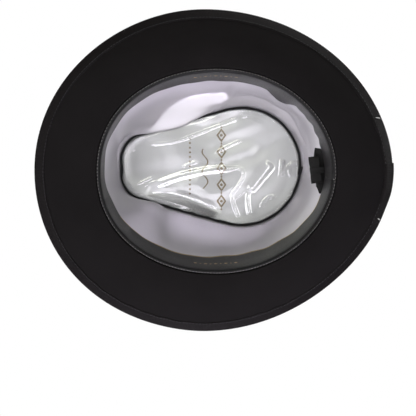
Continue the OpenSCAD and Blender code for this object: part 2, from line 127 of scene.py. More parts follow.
def oval_r(a, front, back, left, right, n):
    c, s = cd(a), sd(a)
    u, w = np.where(c > 0, front, back), np.where(s > 0, left, right)
    return (np.abs(c / u) ** n + np.abs(s / w) ** n) ** (-1 / n)


def open_r(a):
    n = mix(1.98, 2.13, (1 + cd(a)) / 2)
    return oval_r(a, OPEN_LEN / 2, OPEN_LEN / 2, OPEN_WID / 2, OPEN_WID / 2, n)


TIP_BACK_R, TIP_FRONT_R = 53.0, 23.0
_K = np.arange(0, 360, 1.0)
_KD = dirs(_K)
_SUP = np.maximum(_KD[:, 1] * (80.6 - TIP_BACK_R) + TIP_BACK_R,
                  np.abs(_KD[:, 0]) * (30 - TIP_FRONT_R) + _KD[:, 1] * (-81.6 + TIP_FRONT_R) + TIP_FRONT_R)


def tip_r(a, off=0.0):
    a = np.asarray(a, float)
    flat = np.unique(a.ravel())
    c = cd(flat[:, None] - _K[None, :])
    r = np.where(c > 0.1, _SUP[None, :] / np.maximum(c, 0.1), 1e9).min(1)
    g = np.where(c > 0.1, 1 / np.maximum(c, 0.1), 1e9)
    k = np.where(c > 0.1, _SUP[None, :] / np.maximum(c, 0.1), 1e9).argmin(1)
    slope = g[np.arange(len(flat)), k]
    return np.interp(a, flat, r) + off * np.interp(a, flat, slope)


def brim_edge(a):
    wf, wl = (1 + cd(a)) / 2, (1 + sd(a)) / 2
    n = wf * mix(2.07, 1.96, wl) + (1 - wf) * mix(1.82, 1.98, wl)
    r = oval_r(a, 153.4 + BRIM_C, 152.4 - BRIM_C, 136.6, 137.8, n)
    return r[..., None] * dirs(a) + np.array([0, BRIM_C, 0])


def lift(a):
    return 5.0 * np.maximum(0, cd(a)) ** 2 + 16.0 * sd(a) ** 2 + 20.0 * np.maximum(0, -cd(a)) ** 2


def brim_under(s, a):
    s, a = np.broadcast_arrays(np.asarray(s, float), np.asarray(a, float))
    i = (open_r(a) + 1.2)[..., None] * dirs(a)
    o = brim_edge(a)
    flat = 7.0 / np.linalg.norm(o - i, axis=-1)
    z = lift(a) * np.maximum(0, (s - flat) / (1 - flat)) ** 1.9
    p = mix(i, o, s[..., None])
    p[..., 2] += z
    return p


def brim_normal(s, a):
    """Upward unit normal of the brim's underside."""
    return unit(np.cross(brim_under(s + 0.01, a) - brim_under(s - 0.01, a),
                         brim_under(s, a + 0.5) - brim_under(s, a - 0.5)))


def crest(a):
    return mix(110.0, 117.0, (1 + cd(a)) / 2)


WALL = [[0, 0], [0.05, 0.004], [0.12, 0.02], [0.2, 0.045], [0.3, 0.09], [0.4, 0.15], [0.5, 0.225],
        [0.6, 0.315], [0.7, 0.42], [0.8, 0.54], [0.88, 0.65], [0.94, 0.76], [0.98, 0.87], [1, 1]]


def pinch_in(w, a):
    return 9.0 * bell(w - 0.8, 0.22) * (bell(turn(a, 33), 15) + bell(turn(a, -33), 15))


def wall_r(w, a):
    return mix(open_r(a), tip_r(a), curve(w, WALL)) - pinch_in(w, a)


def wall_in(w, a):
    w, a = np.broadcast_arrays(np.asarray(w, float), np.asarray(a, float))
    p = wall_r(w, a)[..., None] * dirs(a)
    p[..., 2] = w * CREST_MID + (crest(a) - CREST_MID) * ease((w - 0.4) / 0.6)
    return p


def dent_in(v, a):
    v, a = np.broadcast_arrays(np.asarray(v, float), np.asarray(a, float))
    c = wall_in(np.ones_like(a), a)
    out = np.empty_like(c)
    out[..., 0] = mix(c[..., 0], 0.0, v)
    out[..., 1] = mix(c[..., 1], 10.0, v)
    out[..., 2] = mix(c[..., 2], 97.5 + 3 * ease((v - 0.45) / 0.55), ease((v - 0.02) / 0.42))
    return out


def outside(z, a, off):
    """A point outside the crown's wall: off is measured from the felt's outer face."""
    z, a = np.broadcast_arrays(np.asarray(z, float), np.asarray(a, float))
    p = (wall_r(z / CREST_MID, a) + FELT_T * 1.03 + off)[..., None] * dirs(a)
    p[..., 2] = z
    return p


def lean(a):
    return 1.6 + 4.8 * sd(a) ** 2 + 5.0 * bell(turn(a, 134), 9)


# ------------------------------------------------------------- mesh making


def make_object(name, verts, faces, uv=None, smooth=True):
    """verts in millimetres; faces a list of index arrays (quads or triangles)."""
    me = bpy.data.meshes.new(name)
    groups = [np.asarray(f, np.int32) for f in faces if len(f)]
    loops = np.concatenate([g.ravel() for g in groups])
    sizes = np.concatenate([np.full(len(g), g.shape[1], np.int32) for g in groups])
    me.vertices.add(len(verts))
    me.vertices.foreach_set("co", (np.asarray(verts, float) * MM).astype(np.float32).ravel())
    me.loops.add(len(loops))
    me.loops.foreach_set("vertex_index", loops)
    me.polygons.add(len(sizes))
    starts = np.concatenate([[0], np.cumsum(sizes)[:-1]]).astype(np.int32)
    me.polygons.foreach_set("loop_start", starts)
    me.polygons.foreach_set("loop_total", sizes)
    me.polygons.foreach_set("use_smooth", np.full(len(sizes), smooth))
    if uv is not None:
        layer = me.uv_layers.new(name="UVMap")
        layer.data.foreach_set("uv", np.asarray(uv, np.float32)[loops].ravel())
    me.validate()
    me.update()
    ob = bpy.data.objects.new(name, me)
    bpy.context.scene.collection.objects.link(ob)
    return ob


def grid_faces(rows, cols, wrap_u=False, wrap_v=False, base=0, flip=False):
    j = np.arange(rows if wrap_v else rows - 1)
    i = np.arange(cols if wrap_u else cols - 1)
    J, I = np.meshgrid(j, i, indexing="ij")
    J2, I2 = (J + 1) % rows, (I + 1) % cols
    q = np.stack([J * cols + I, J * cols + I2, J2 * cols + I2, J2 * cols + I], -1).reshape(-1, 4) + base
    return q[:, ::-1] if flip else q


def shell(name, P, wrap_u=False, flip=False, uv=None, smooth=True):
    """A closed band from P[rows, cols, 3]: the rows go once round the section.
    wrap_u closes it along its length; else both ends are capped."""
    m, n = P.shape[:2]
    faces = [grid_faces(m, n, wrap_u, True, flip=flip)]
    if not wrap_u:
        h = m // 2
        for end, rev in ((0, flip), (n - 1, not flip)):
            k = np.arange(h - 1)
            a, b = k * n + end, (k + 1) * n + end
            c, d = (m - 2 - k) * n + end, (m - 1 - k) * n + end
            q = np.stack([a, b, c, d], -1)
            faces.append(q[:, ::-1] if rev else q)
    return make_object(name, P.reshape(-1, 3), faces, uv, smooth)


def normals_of(P, wrap_u=False):
    """Unit normals of a grid of points [rows, cols, 3]."""
    if wrap_u:
        du = np.roll(P, -1, 1) - np.roll(P, 1, 1)
    else:
        du = np.gradient(P, axis=1)
    dv = np.gradient(P, axis=0)
    return unit(np.cross(du, dv))


def volume_sign(ob):
    me = ob.data
    me.calc_loop_triangles()
    co = np.empty(len(me.vertices) * 3)
    me.vertices.foreach_get("co", co)
    co = co.reshape(-1, 3)
    t = np.empty(len(me.loop_triangles) * 3, np.int32)
    me.loop_triangles.foreach_get("vertices", t)
    a, b, c = (co[t.reshape(-1, 3)[:, k]] for k in range(3))
    return float((a * np.cross(b, c)).sum() / 6)


def outward(ob):
    """Turns a closed mesh's faces outward."""
    if volume_sign(ob) < 0:
        ob.data.flip_normals()
    return ob


def strip_shell(name, mid, half, flip=False, uv=None, wrap_u=False):
    """A thin closed strip round the surface mid[rows, cols, 3], half thick on each side."""
    n = normals_of(mid, wrap_u)
    if np.isscalar(half):
        half = np.full(mid.shape[:2], half)
    top, bot = mid + n * half[..., None], mid - n * half[..., None]
    P = np.concatenate([bot, top[::-1]], 0)
    U = None
    if uv is not None:
        U = np.concatenate([uv, uv[::-1]], 0).reshape(-1, 2)
    return outward(shell(name, P, wrap_u, flip, U))


def threads(name, items, rings=5, sides=6):
    """Short stitches. Each item is (centre, half length vector, half width vector, half height vector)."""
    V, F = [], []
    t = np.linspace(-1, 1, rings)
    prof = np.sqrt(np.maximum(0, 1 - np.abs(t) ** 3.2)) * 0.97 + 0.03
    ang = np.arange(sides) * 2 * np.pi / sides
    for q, (c, d, w, h) in enumerate(items):
        c, d, w, h = (np.asarray(x, float) for x in (c, d, w, h))
        arc = (1 - t ** 2)
        ring = (c + d * t[:, None])[:, None, :] + prof[:, None, None] * (
            w * np.cos(ang)[None, :, None] + h * np.sin(ang)[None, :, None]) + (h * 0.35 * arc[:, None])[:, None, :]
        base = q * (rings * sides)
        V.append(ring.reshape(-1, 3))
        right = np.dot(np.cross(w, h), d) > 0
        f = grid_faces(rings, sides, True, False, base, flip=not right)
        F.append(f)
        a = base + np.arange(sides)
        b = base + (rings - 1) * sides + np.arange(sides)
        for ringv, rev in ((a, right), (b, not right)):
            k = np.arange(1, sides - 1)
            tri = np.stack([np.full(sides - 2, ringv[0]), ringv[k], ringv[k + 1]], -1)
            tri = tri[:, ::-1] if rev else tri
            F.append(tri)
    quads = np.concatenate([f for f in F if f.shape[1] == 4])
    tris = np.concatenate([f for f in F if f.shape[1] == 3])
    return outward(make_object(name, np.concatenate(V), [quads, tris]))


def tube(name, line, radius, sides=12, closed=True, twist=0.0, lobes=0, lobe_h=0.0):
    """A tube along line[n, 3], with optional lobes that wind round it like a cord's strands."""
    line = np.asarray(line, float)
    n = len(line)
    tan = unit(np.roll(line, -1, 0) - np.roll(line, 1, 0)) if closed else unit(np.gradient(line, axis=0))
    up = np.array([0.0, 0.0, 1.0])
    side = unit(np.cross(tan, up))
    top = np.cross(side, tan)
    radius = np.broadcast_to(np.asarray(radius, float), (n,))
    length = np.concatenate([[0], np.cumsum(np.linalg.norm(np.diff(line, axis=0), axis=1))])
    q = np.arange(sides) * 2 * np.pi / sides
    r = radius[:, None] * (1 + lobe_h * np.cos(lobes * q[None, :] + twist * length[:, None]) if lobes else np.ones((n, sides)))
    P = line[:, None, :] + r[..., None] * (side[:, None, :] * np.cos(q)[None, :, None] + top[:, None, :] * np.sin(q)[None, :, None])
    faces = [grid_faces(n, sides, True, closed)]
    verts = P.reshape(-1, 3)
    if not closed:
        verts = np.concatenate([verts, line[:1], line[-1:]])
        k = np.arange(sides)
        faces.append(np.stack([np.full(sides, n * sides), k, (k + 1) % sides], -1))
        b = (n - 1) * sides
        faces.append(np.stack([np.full(sides, n * sides + 1), b + (k + 1) % sides, b + k], -1))
    return outward(make_object(name, verts, faces))


# --------------------------------------------------------------- materials


def new_mat(name):
    m = bpy.data.materials.new(name)
    m.use_nodes = True
    nt = m.node_tree
    nt.nodes.clear()
    out = nt.nodes.new("ShaderNodeOutputMaterial")
    bsdf = nt.nodes.new("ShaderNodeBsdfPrincipled")
    nt.links.new(bsdf.outputs[0], out.inputs[0])
    return m, nt, bsdf, out


def node(nt, kind, **props):
    n = nt.nodes.new(kind)
    for k, v in props.items():
        setattr(n, k, v)
    return n


def noise(nt, vec, scale, detail=4.0, rough=0.55, distort=0.0):
    n = node(nt, "ShaderNodeTexNoise")
    n.inputs["Scale"].default_value = scale
    n.inputs["Detail"].default_value = detail
    n.inputs["Roughness"].default_value = rough
    n.inputs["Distortion"].default_value = distort
    nt.links.new(vec, n.inputs["Vector"])
    return n.outputs["Fac"]


def voronoi(nt, vec, scale, feature="F1"):
    n = node(nt, "ShaderNodeTexVoronoi", feature=feature)
    n.inputs["Scale"].default_value = scale
    nt.links.new(vec, n.inputs["Vector"])
    return n.outputs["Distance"]


def wave(nt, vec, scale, axis="X", distort=0.0, profile="SIN", detail_scale=1.0):
    n = node(nt, "ShaderNodeTexWave", bands_direction=axis, wave_profile=profile)
    n.inputs["Scale"].default_value = scale
    n.inputs["Distortion"].default_value = distort
    n.inputs["Detail Scale"].default_value = detail_scale
    nt.links.new(vec, n.inputs["Vector"])
    return n.outputs["Fac"]


def math_node(nt, op, a, b=None, clamp=False):
    n = node(nt, "ShaderNodeMath", operation=op, use_clamp=clamp)
    for i, x in enumerate((a, b)):
        if x is None:
            continue
        if isinstance(x, (int, float)):
            n.inputs[i].default_value = x
        else:
            nt.links.new(x, n.inputs[i])
    return n.outputs[0]


def ramp(nt, fac, stops):
    n = node(nt, "ShaderNodeValToRGB")
    el = n.color_ramp.elements
    while len(el) < len(stops):
        el.new(0.5)
    for e, (p, c) in zip(el, stops):
        e.position = p
        e.color = (*c, 1.0) if len(c) == 3 else c
    nt.links.new(fac, n.inputs[0])
    return n.outputs[0]


def mix_col(nt, fac, a, b, blend="MIX"):
    n = node(nt, "ShaderNodeMix", data_type="RGBA", blend_type=blend)
    if isinstance(fac, (int, float)):
        n.inputs[0].default_value = fac
    else:
        nt.links.new(fac, n.inputs[0])
    for i, x in ((6, a), (7, b)):
        if isinstance(x, tuple):
            n.inputs[i].default_value = (*x, 1.0)
        else:
            nt.links.new(x, n.inputs[i])
    return n.outputs[2]


def map_range(nt, val, lo, hi, to_lo, to_hi):
    n = node(nt, "ShaderNodeMapRange")
    nt.links.new(val, n.inputs[0])
    for i, v in zip((1, 2, 3, 4), (lo, hi, to_lo, to_hi)):
        n.inputs[i].default_value = v
    return n.outputs[0]


def bump(nt, height, strength, dist, normal=None):
    n = node(nt, "ShaderNodeBump")
    n.inputs["Strength"].default_value = strength
    n.inputs["Distance"].default_value = dist
    nt.links.new(height, n.inputs["Height"])
    if normal is not None:
        nt.links.new(normal, n.inputs["Normal"])
    return n.outputs[0]


def coords(nt):
    n = node(nt, "ShaderNodeTexCoord")
    return n.outputs["Object"], n.outputs["UV"]


def scaled(nt, vec, scale):
    n = node(nt, "ShaderNodeMapping")
    n.inputs["Scale"].default_value = scale
    nt.links.new(vec, n.inputs["Vector"])
    return n.outputs[0]


def felt_mat():
    m, nt, b, _ = new_mat("felt")
    obj, _ = coords(nt)
    broad = noise(nt, obj, 18, 3)
    mid = noise(nt, obj, 160, 4, 0.6)
    fibre = noise(nt, obj, 1500, 5, 0.7, 0.6)
    lint = voronoi(nt, obj, 420)
    col = ramp(nt, broad, [(0.3, (0.0046, 0.0042, 0.0042)), (0.7, (0.0066, 0.0060, 0.0060))])
    col = mix_col(nt, math_node(nt, "MULTIPLY", fibre, 0.5), col, (0.0109, 0.0099, 0.0099))
    speck = map_range(nt, lint, 0.0, 0.10, 1.0, 0.0)
    col = mix_col(nt, math_node(nt, "MULTIPLY", speck, 0.25, clamp=True), col, (0.020, 0.0185, 0.0195))
    nt.links.new(col, b.inputs["Base Color"])
    b.inputs["Roughness"].default_value = 0.95
    b.inputs["Specular IOR Level"].default_value = 0.045
    b.inputs["Sheen Weight"].default_value = 0.007
    b.inputs["Sheen Roughness"].default_value = 0.5
    b.inputs["Sheen Tint"].default_value = (0.79, 0.76, 0.76, 1)
    n1 = bump(nt, mid, 0.35, 0.0006)
    n2 = bump(nt, fibre, 0.55, 0.00035, n1)
    nt.links.new(n2, b.inputs["Normal"])
    return m


def ribbon_mat(name="grosgrain", tint=1.0, gloss=0.16, warm=1.0):
    """Ribbed ribbon; the ribs themselves are in the mesh, this adds yarn and sheen."""
    m, nt, b, _ = new_mat(name)
    obj, uv = coords(nt)
    yarn = noise(nt, obj, 2200, 3, 0.6)
    slub = noise(nt, obj, 90, 3)
    rows = wave(nt, scaled(nt, uv, (1, 1, 1)), 0.5 / 0.00055 / 3.1416, "Y", 0.4)
    col = ramp(nt, slub, [(0.25, (0.0050 * tint * warm, 0.0048 * tint, 0.0048 * tint)),
                          (0.75, (0.0085 * tint * warm, 0.0081 * tint, 0.0081 * tint))])
    col = mix_col(nt, math_node(nt, "MULTIPLY", yarn, 0.5), col, (0.015 * tint * warm, 0.0145 * tint, 0.0145 * tint))
    nt.links.new(col, b.inputs["Base Color"])
    r = map_range(nt, yarn, 0.3, 0.7, 0.46, 0.62)
    nt.links.new(r, b.inputs["Roughness"])
    b.inputs["Specular IOR Level"].default_value = gloss
    b.inputs["Sheen Weight"].default_value = gloss * 0.12
    b.inputs["Sheen Roughness"].default_value = 0.4
    n1 = bump(nt, rows, 0.25, 0.00012)
    n2 = bump(nt, yarn, 0.35, 0.00018, n1)
    nt.links.new(n2, b.inputs["Normal"])
    return m


def leather_mat():
    m, nt, b, _ = new_mat("leather")
    obj, uv = coords(nt)
    broad = noise(nt, obj, 30, 3)
    grain = voronoi(nt, obj, 900)
    fine = noise(nt, obj, 1600, 4, 0.6)
    crease = noise(nt, scaled(nt, uv, (1.0, 0.12, 1)), 260, 4, 0.6, 0.8)
    wear = noise(nt, obj, 75, 5, 0.65)
    col = ramp(nt, broad, [(0.3, (0.015, 0.014, 0.0145)), (0.7, (0.024, 0.0227, 0.023))])
    col = mix_col(nt, math_node(nt, "MULTIPLY", map_range(nt, wear, 0.5, 0.75, 0, 1), 0.35), col, (0.058, 0.056, 0.057))
    col = mix_col(nt, math_node(nt, "MULTIPLY", map_range(nt, grain, 0.25, 0.6, 0, 1), 0.3), col, (0.016, 0.0155, 0.016))
    # painted shade: towards the roll and the sewn edge at the bottom the colour is darkened, as shade by the seam, and
    # the specular level is lowered there
    parts = node(nt, "ShaderNodeSeparateXYZ")
    nt.links.new(obj, parts.inputs[0])
    face = map_range(nt, parts.outputs["Z"], 0.003, 0.019, 0.0, 1.0)
    # painted seam shade: near-black at the bottom edge, fading out by 19 mm up the face
    col = mix_col(nt, face, (0.006, 0.0057, 0.0058), col)
    nt.links.new(col, b.inputs["Base Color"])
    r = map_range(nt, fine, 0.3, 0.7, 0.40, 0.56)
    nt.links.new(r, b.inputs["Roughness"])
    nt.links.new(map_range(nt, face, 0, 1, 0.15, 0.38), b.inputs["Specular IOR Level"])
    n1 = bump(nt, crease, 0.35, 0.0007)
    n2 = bump(nt, grain, 0.35, 0.00022, n1)
    n3 = bump(nt, fine, 0.25, 0.00010, n2)
    nt.links.new(n3, b.inputs["Normal"])
    return m


def satin_mat(name, lo, hi, metallic=0.45, rough=0.38, brushed=False):
    m, nt, b, _ = new_mat(name)
    obj, uv = coords(nt)
    broad = noise(nt, obj, 14, 2)
    weave = noise(nt, obj, 2600, 3, 0.6)
    col = ramp(nt, broad, [(0.3, lo), (0.7, hi)])
    col = mix_col(nt, math_node(nt, "MULTIPLY", weave, 0.05), col, tuple(x * 0.8 for x in lo))
    nt.links.new(col, b.inputs["Base Color"])
    b.inputs["Metallic"].default_value = metallic
    nt.links.new(map_range(nt, broad, 0.3, 0.7, rough - 0.02, rough + 0.02), b.inputs["Roughness"])
    b.inputs["Specular IOR Level"].default_value = 0.6
    b.inputs["Anisotropic"].default_value = 0.35
    b.inputs["Sheen Weight"].default_value = 0.06
    b.inputs["Sheen Roughness"].default_value = 0.35
    normal = bump(nt, weave, 0.03, 0.00008)
    if brushed:
        # faint creases of the stretched cloth, running along the hat
        turned = node(nt, "ShaderNodeMapping", vector_type="POINT")
        turned.inputs["Rotation"].default_value = (0, 0, -0.22)
        nt.links.new(obj, turned.inputs["Vector"])
        crease = noise(nt, scaled(nt, turned.outputs[0], (1.0, 0.07, 1)), 330, 4, 0.6)
        normal = bump(nt, crease, 0.35, 0.0004, normal)
    nt.links.new(normal, b.inputs["Normal"])
    return m


def vinyl_mat():
    m, nt, b, out = new_mat("clear_vinyl")
    obj, _ = coords(nt)
    smear = noise(nt, obj, 45, 3, 0.55)
    # painted shade: a point attribute of the film turns it dark grey and less clear on one pleat, as the shade of that
    # fold
    fold_shade_node = node(nt, "ShaderNodeAttribute", attribute_name="fold_shade", attribute_type="GEOMETRY")
    nt.links.new(mix_col(nt, fold_shade_node.outputs["Fac"], (0.93, 0.95, 0.97), (0.16, 0.157, 0.16)), b.inputs["Base Color"])
    nt.links.new(map_range(nt, fold_shade_node.outputs["Fac"], 0, 1, 0.06, 0.45), b.inputs["Alpha"])
    b.inputs["Roughness"].default_value = 0.25
    b.inputs["IOR"].default_value = 1.5
    gloss = node(nt, "ShaderNodeBsdfAnisotropic", distribution="GGX")
    gloss.inputs["Color"].default_value = (1, 1, 1, 1)
    nt.links.new(map_range(nt, smear, 0.35, 0.7, 0.05, 0.11), gloss.inputs["Roughness"])
    fr = node(nt, "ShaderNodeFresnel")
    fr.inputs["IOR"].default_value = 1.5
    fac = math_node(nt, "MULTIPLY", fr.outputs[0], 2.3, clamp=True)
    mixs = node(nt, "ShaderNodeMixShader")
    nt.links.new(fac, mixs.inputs[0])
    nt.links.new(b.outputs[0], mixs.inputs[1])
    nt.links.new(gloss.outputs[0], mixs.inputs[2])
    nt.links.new(mixs.outputs[0], out.inputs[0])
    return m


def gilt_mat(name="gilt", k=1.0):
    m, nt, b, _ = new_mat(name)
    obj, _ = coords(nt)
    wear = noise(nt, obj, 900, 5, 0.7)
    col = ramp(nt, wear, [(0.35, (0.12 * k, 0.085 * k, 0.035 * k)), (0.6, (0.29 * k, 0.205 * k, 0.085 * k))])
    nt.links.new(col, b.inputs["Base Color"])
    b.inputs["Metallic"].default_value = 0.65
    r = map_range(nt, wear, 0.3, 0.7, 0.55, 0.32)
    nt.links.new(r, b.inputs["Roughness"])
    nt.links.new(bump(nt, wear, 0.3, 0.00008), b.inputs["Normal"])
    return m


def thread_mat(name, c, rough=0.65):
    m, nt, b, _ = new_mat(name)
    obj, _ = coords(nt)
    ply = noise(nt, obj, 3000, 3, 0.6)
    col = ramp(nt, ply, [(0.3, tuple(x * 0.72 for x in c)), (0.7, c)])
    nt.links.new(col, b.inputs["Base Color"])
    b.inputs["Roughness"].default_value = rough
    b.inputs["Specular IOR Level"].default_value = 0.35
    nt.links.new(bump(nt, ply, 0.5, 0.00012), b.inputs["Normal"])
    return m


def piping_mat():
    m, nt, b, _ = new_mat("piping")
    obj, uv = coords(nt)
    yarn = noise(nt, obj, 1500, 4, 0.6)
    col = ramp(nt, yarn, [(0.3, (0.003, 0.003, 0.0035)), (0.75, (0.010, 0.010, 0.011))])
    nt.links.new(col, b.inputs["Base Color"])
    b.inputs["Roughness"].default_value = 0.5
    b.inputs["Specular IOR Level"].default_value = 0.2
    nt.links.new(bump(nt, yarn, 0.4, 0.0002), b.inputs["Normal"])
    return m


M = {
    "felt": felt_mat(),
    "grosgrain": ribbon_mat("grosgrain"),
    "binding": ribbon_mat("binding", 0.60, 0.05, 1.12),
    "leather": leather_mat(),
    "satin_side": satin_mat("satin_side", (0.565, 0.545, 0.582), (0.645, 0.624, 0.662), 0.60, 0.38),
    "satin_tip": satin_mat("satin_tip", (0.69, 0.69, 0.70), (0.78, 0.78, 0.785), 0.65, 0.33, True),
    "clear_vinyl": vinyl_mat(),
    "gilt": gilt_mat(),
    "gilt_bright": gilt_mat("gilt_bright", 1.6),
    "dark_thread": thread_mat("dark_thread", (0.022, 0.022, 0.024)),
    "light_thread": thread_mat("light_thread", (0.78, 0.77, 0.73)),
    "tack_thread": thread_mat("tack_thread", (0.46, 0.455, 0.44)),
    "seam_thread": thread_mat("seam_thread", (0.10, 0.098, 0.095)),
    "grey_thread": thread_mat("grey_thread", (0.17, 0.167, 0.162)),
    "reed": thread_mat("reed", (0.60, 0.60, 0.57), 0.35),
    "piping": piping_mat(),
}


def dress(ob, mat, slot, *nodes):
    ob.data.materials.clear()
    ob.data.materials.append(M[mat])
    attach(ob, "root")
    if nodes:
        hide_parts(*nodes)
    return ob


# ------------------------------------------------------------- felt body


def felt_body():
    N = 366
    A = np.arange(N) * 360.0 / N
    wob = 0.35 * ripple(A, 0, 5, ka=(3, 11))

    def under(s):
        p = brim_under(np.full(N, s), A)
        p[:, 2] += 0.2 + wob * ease((s - 0.2) / 0.8)
        return p

    S = np.concatenate([np.linspace(1.0, 0.9, 9), np.linspace(0.87, 0.16, 26)])
    lower = [under(s) for s in S]
    r0 = open_r(A)
    # the break from the flat ring into the head opening, a small round
    corner = []
    rc = 1.3
    for t in np.linspace(0, 90, 6):
        off = 0.5 + rc - rc * sd(t)
        p = (r0 + off)[:, None] * dirs(A)
        p[:, 2] = 0.2 + rc * (1 - cd(t))
        corner.append(p)
    ring = []
    for off in (6.6, 4.6, 2.8):
        p = (r0 + off)[:, None] * dirs(A)
        p[:, 2] = 0.2
        ring.append(p)
    W = np.concatenate([[0.016], np.linspace(0.03, 0.9, 48), np.linspace(0.915, 1.0, 12)])
    wall = [wall_in(np.full(N, w), A) for w in W]
    V = np.concatenate([np.linspace(0.02, 0.5, 22), np.linspace(0.55, 0.95, 9)])
    dent = [dent_in(np.full(N, v), A) for v in V]
    inner = np.array(lower + ring + corner + wall + dent)

    # outer face: brim top, fillet, wall, crest, dent
    T = FELT_T
    top = []
    for s in S:
        a2 = A
        n = brim_normal(np.full(N, s), a2)
        p = under(s) + n * T
        top.append(p)
    top = np.array(top)
    # a soft round nose on the cut edge: hidden by the ribbon, but closed neatly
    fil = []
    rf = 2.3
    for t in np.linspace(0, 90, 7):
        off = T * 1.03 + 0.5 + rf * (1 - sd(t))
        p = (r0 + off)[:, None] * dirs(A)
        p[:, 2] = 0.2 + T + rf * (1 - cd(t))
        fil.append(p)
    fil = np.array(fil)
    ringt = []
    for off in (7.4, 6.2):
        p = (r0 + off)[:, None] * dirs(A)
        p[:, 2] = 0.2 + T
        ringt.append(p)
    WO = np.concatenate([np.linspace(0.06, 0.9, 47), np.linspace(0.915, 1.0, 12)])
    upper = np.array([wall_in(np.full(N, w), A) for w in WO] + dent)
    nrm = normals_of(upper, True)
    if (nrm[5, 0] @ dirs(A)[0]) < 0:
        nrm = -nrm
    # hand-made unevenness on the outside of the crown
    h = np.arange(len(upper))[:, None] / len(upper)
    dimple = 0.22 * ripple(A[None, :], h, 21, n=22, ka=(2, 13), kv=(0.5, 5))
    upper = upper + nrm * (T + dimple * np.linspace(0.3, 1, len(upper))[:, None])[..., None]
    outer = np.concatenate([top, np.array(ringt), fil, upper])

    P = np.concatenate([inner[::-1], outer])
    rows = len(P)
    verts = P.reshape(-1, 3)
    c0, c1 = P[0].mean(0), P[-1].mean(0)
    verts = np.concatenate([verts, [c0], [c1]])
    k = np.arange(N)
    base = (rows - 1) * N
    faces = [grid_faces(rows, N, True),
             np.stack([np.full(N, rows * N), (k + 1) % N, k], -1),
             np.stack([np.full(N, rows * N + 1), base + k, base + (k + 1) % N], -1)]
    ob = outward(make_object("felt_hood", verts, faces))
    return dress(ob, "felt", "felt", "felt_body")


felt_body()

# ------------------------------------------------------------ edge ribbon

BIND_W, BIND_T = 7.4, 0.7
LAP_END = 177.8


def brim_len(a):
    return np.linalg.norm(brim_edge(a) - (open_r(a) + 1.2)[..., None] * dirs(a), axis=-1)


def edge_ribbon():
    # the ribbon starts under the lap at 185 and runs round to LAP_END
    span = 360 + (185 - LAP_END)
    ribs = 688
    n = ribs * 4 + 1
    k = np.linspace(0, 1, n)
    a = 185 - k * span
    raise_ = (BIND_T + 0.35) * ease((k * span - 352.0) / 7.0)
    rib = 0.10 * np.cos(k * ribs * 2 * np.pi)
    wander = 0.30 * ripple(a, 0, 31, ka=(20, 60)) + 0.25 * ripple(a, 0, 32, ka=(4, 11))
    L = brim_len(a)
    wob = 0.35 * ripple(a, 0, 5, ka=(3, 11))

    def base(s):
        p = brim_under(s, a)
        p[:, 2] += 0.2 + wob * ease((s - 0.2) / 0.8)
        return p, brim_normal(s, a)

    def run(g):
        """One face of the ribbon: under, round the nose, over."""
        rows = []
        w = BIND_W + wander
        for t, thin in ((1.0, 0.15), (0.93, 0.7), (0.86, 1.0), (0.75, 1.0), (0.6, 1.0), (0.4, 1.0), (0.2, 1.0), (0.05, 1.0)):
            s = 1 - t * w / L
            p, nn = base(s)
            rows.append(p - nn * (0.07 + 0.07 * thin + g * thin)[:, None])
        p, nn = base(np.ones(n))
        d = unit(np.stack([p[:, 0], p[:, 1] - BRIM_C, 0 * p[:, 0]], -1))
        midp = p + nn * (FELT_T / 2)
        rad = FELT_T / 2 + 0.14 + g
        for q in (-62, -35, 0, 35, 62):
            rows.append(midp + (nn * sd(q) + d * cd(q) * 0.75) * rad[:, None])
        w2 = BIND_W - 0.2 + 0.30 * ripple(a, 0, 33, ka=(20, 60))
        for t in (0.05, 0.3, 0.65, 0.97, 1.0):
            s = 1 - t * w2 / L
            p, nn = base(s)
            rows.append(p + nn * (FELT_T + 0.14 + g)[:, None])
        return np.array(rows)

    outer = run(raise_ + BIND_T + rib)
    inner = run(raise_ + 0.0 * rib)
    outer[-1] = mix(outer[-1], inner[-1], 0.35)
    P = np.concatenate([outer, inner[::-1]])
    m = len(outer)
    u = k * 0.93
    v = np.linspace(0, 0.017, m)
    UV = np.stack(np.broadcast_arrays(u[None, :], v[:, None]), -1)
    UV = np.concatenate([UV, UV[::-1]])
    ob = outward(shell("edge_ribbon", P, False, False, UV.reshape(-1, 2)))
    return dress(ob, "binding", "binding", "brim_binding")


edge_ribbon()


def edge_stitches():
    items = []
    r = np.random.RandomState(3)
    for a in np.arange(0, 360, 1.25):
        a = a + r.uniform(-0.12, 0.12)
        A1 = np.array([a])
        s = 1 - (BIND_W - 1.1) / brim_len(A1)
        n = brim_normal(s, A1)[0]
        w = 0.35 * ripple(A1, 0, 5, ka=(3, 11))[0]
        p = brim_under(s, A1)[0] + [0, 0, 0.2 + w * float(ease((s[0] - 0.2) / 0.8))] - n * (0.14 + BIND_T + 0.02)
        d = unit(brim_under(s, A1 + 0.5)[0] - brim_under(s, A1 - 0.5)[0])
        sk = unit(d + np.cross(n, d) * r.uniform(-0.12, 0.12))
        items.append((p, sk * 1.15, np.cross(n, sk) * 0.20, -n * 0.17))
    ob = threads("edge_stitches", items)
    return dress(ob, "dark_thread", "dark_thread", "binding_stitches")


edge_stitches()


def edge_tacks():
    V, items = [], []
    for a, s0, half, course in ((163.1, 0.945, 3.3, (0.08, 1, 0)), (195.7, 0.962, 2.1, (-0.5, 0.86, 0))):
        A1 = np.array([a])
        n = brim_normal(np.array([s0]), A1)[0]
        p = brim_under(np.array([s0]), A1)[0] + [0, 0, 0.2] - n * (0.14 + BIND_T + 0.22)
        c = np.array(course, float)
        d = unit(c - n * (n @ c))
        w = np.cross(n, d)
        for off, ln, tilt in ((0.26, 1.0, 0.06), (-0.24, 0.9, -0.05)):
            dd = unit(d + w * tilt)
            items.append((p + w * off, dd * half * ln, np.cross(n, dd) * 0.21, -n * 0.22))
    ob = threads("edge_tacks", items, rings=9, sides=8)
    return dress(ob, "tack_thread", "light_thread", "binding_tacks")


edge_tacks()

# ------------------------------------------------------------- outer band

BAND_Z, BAND_W, BAND_T = 4.6, 38.0, 0.8


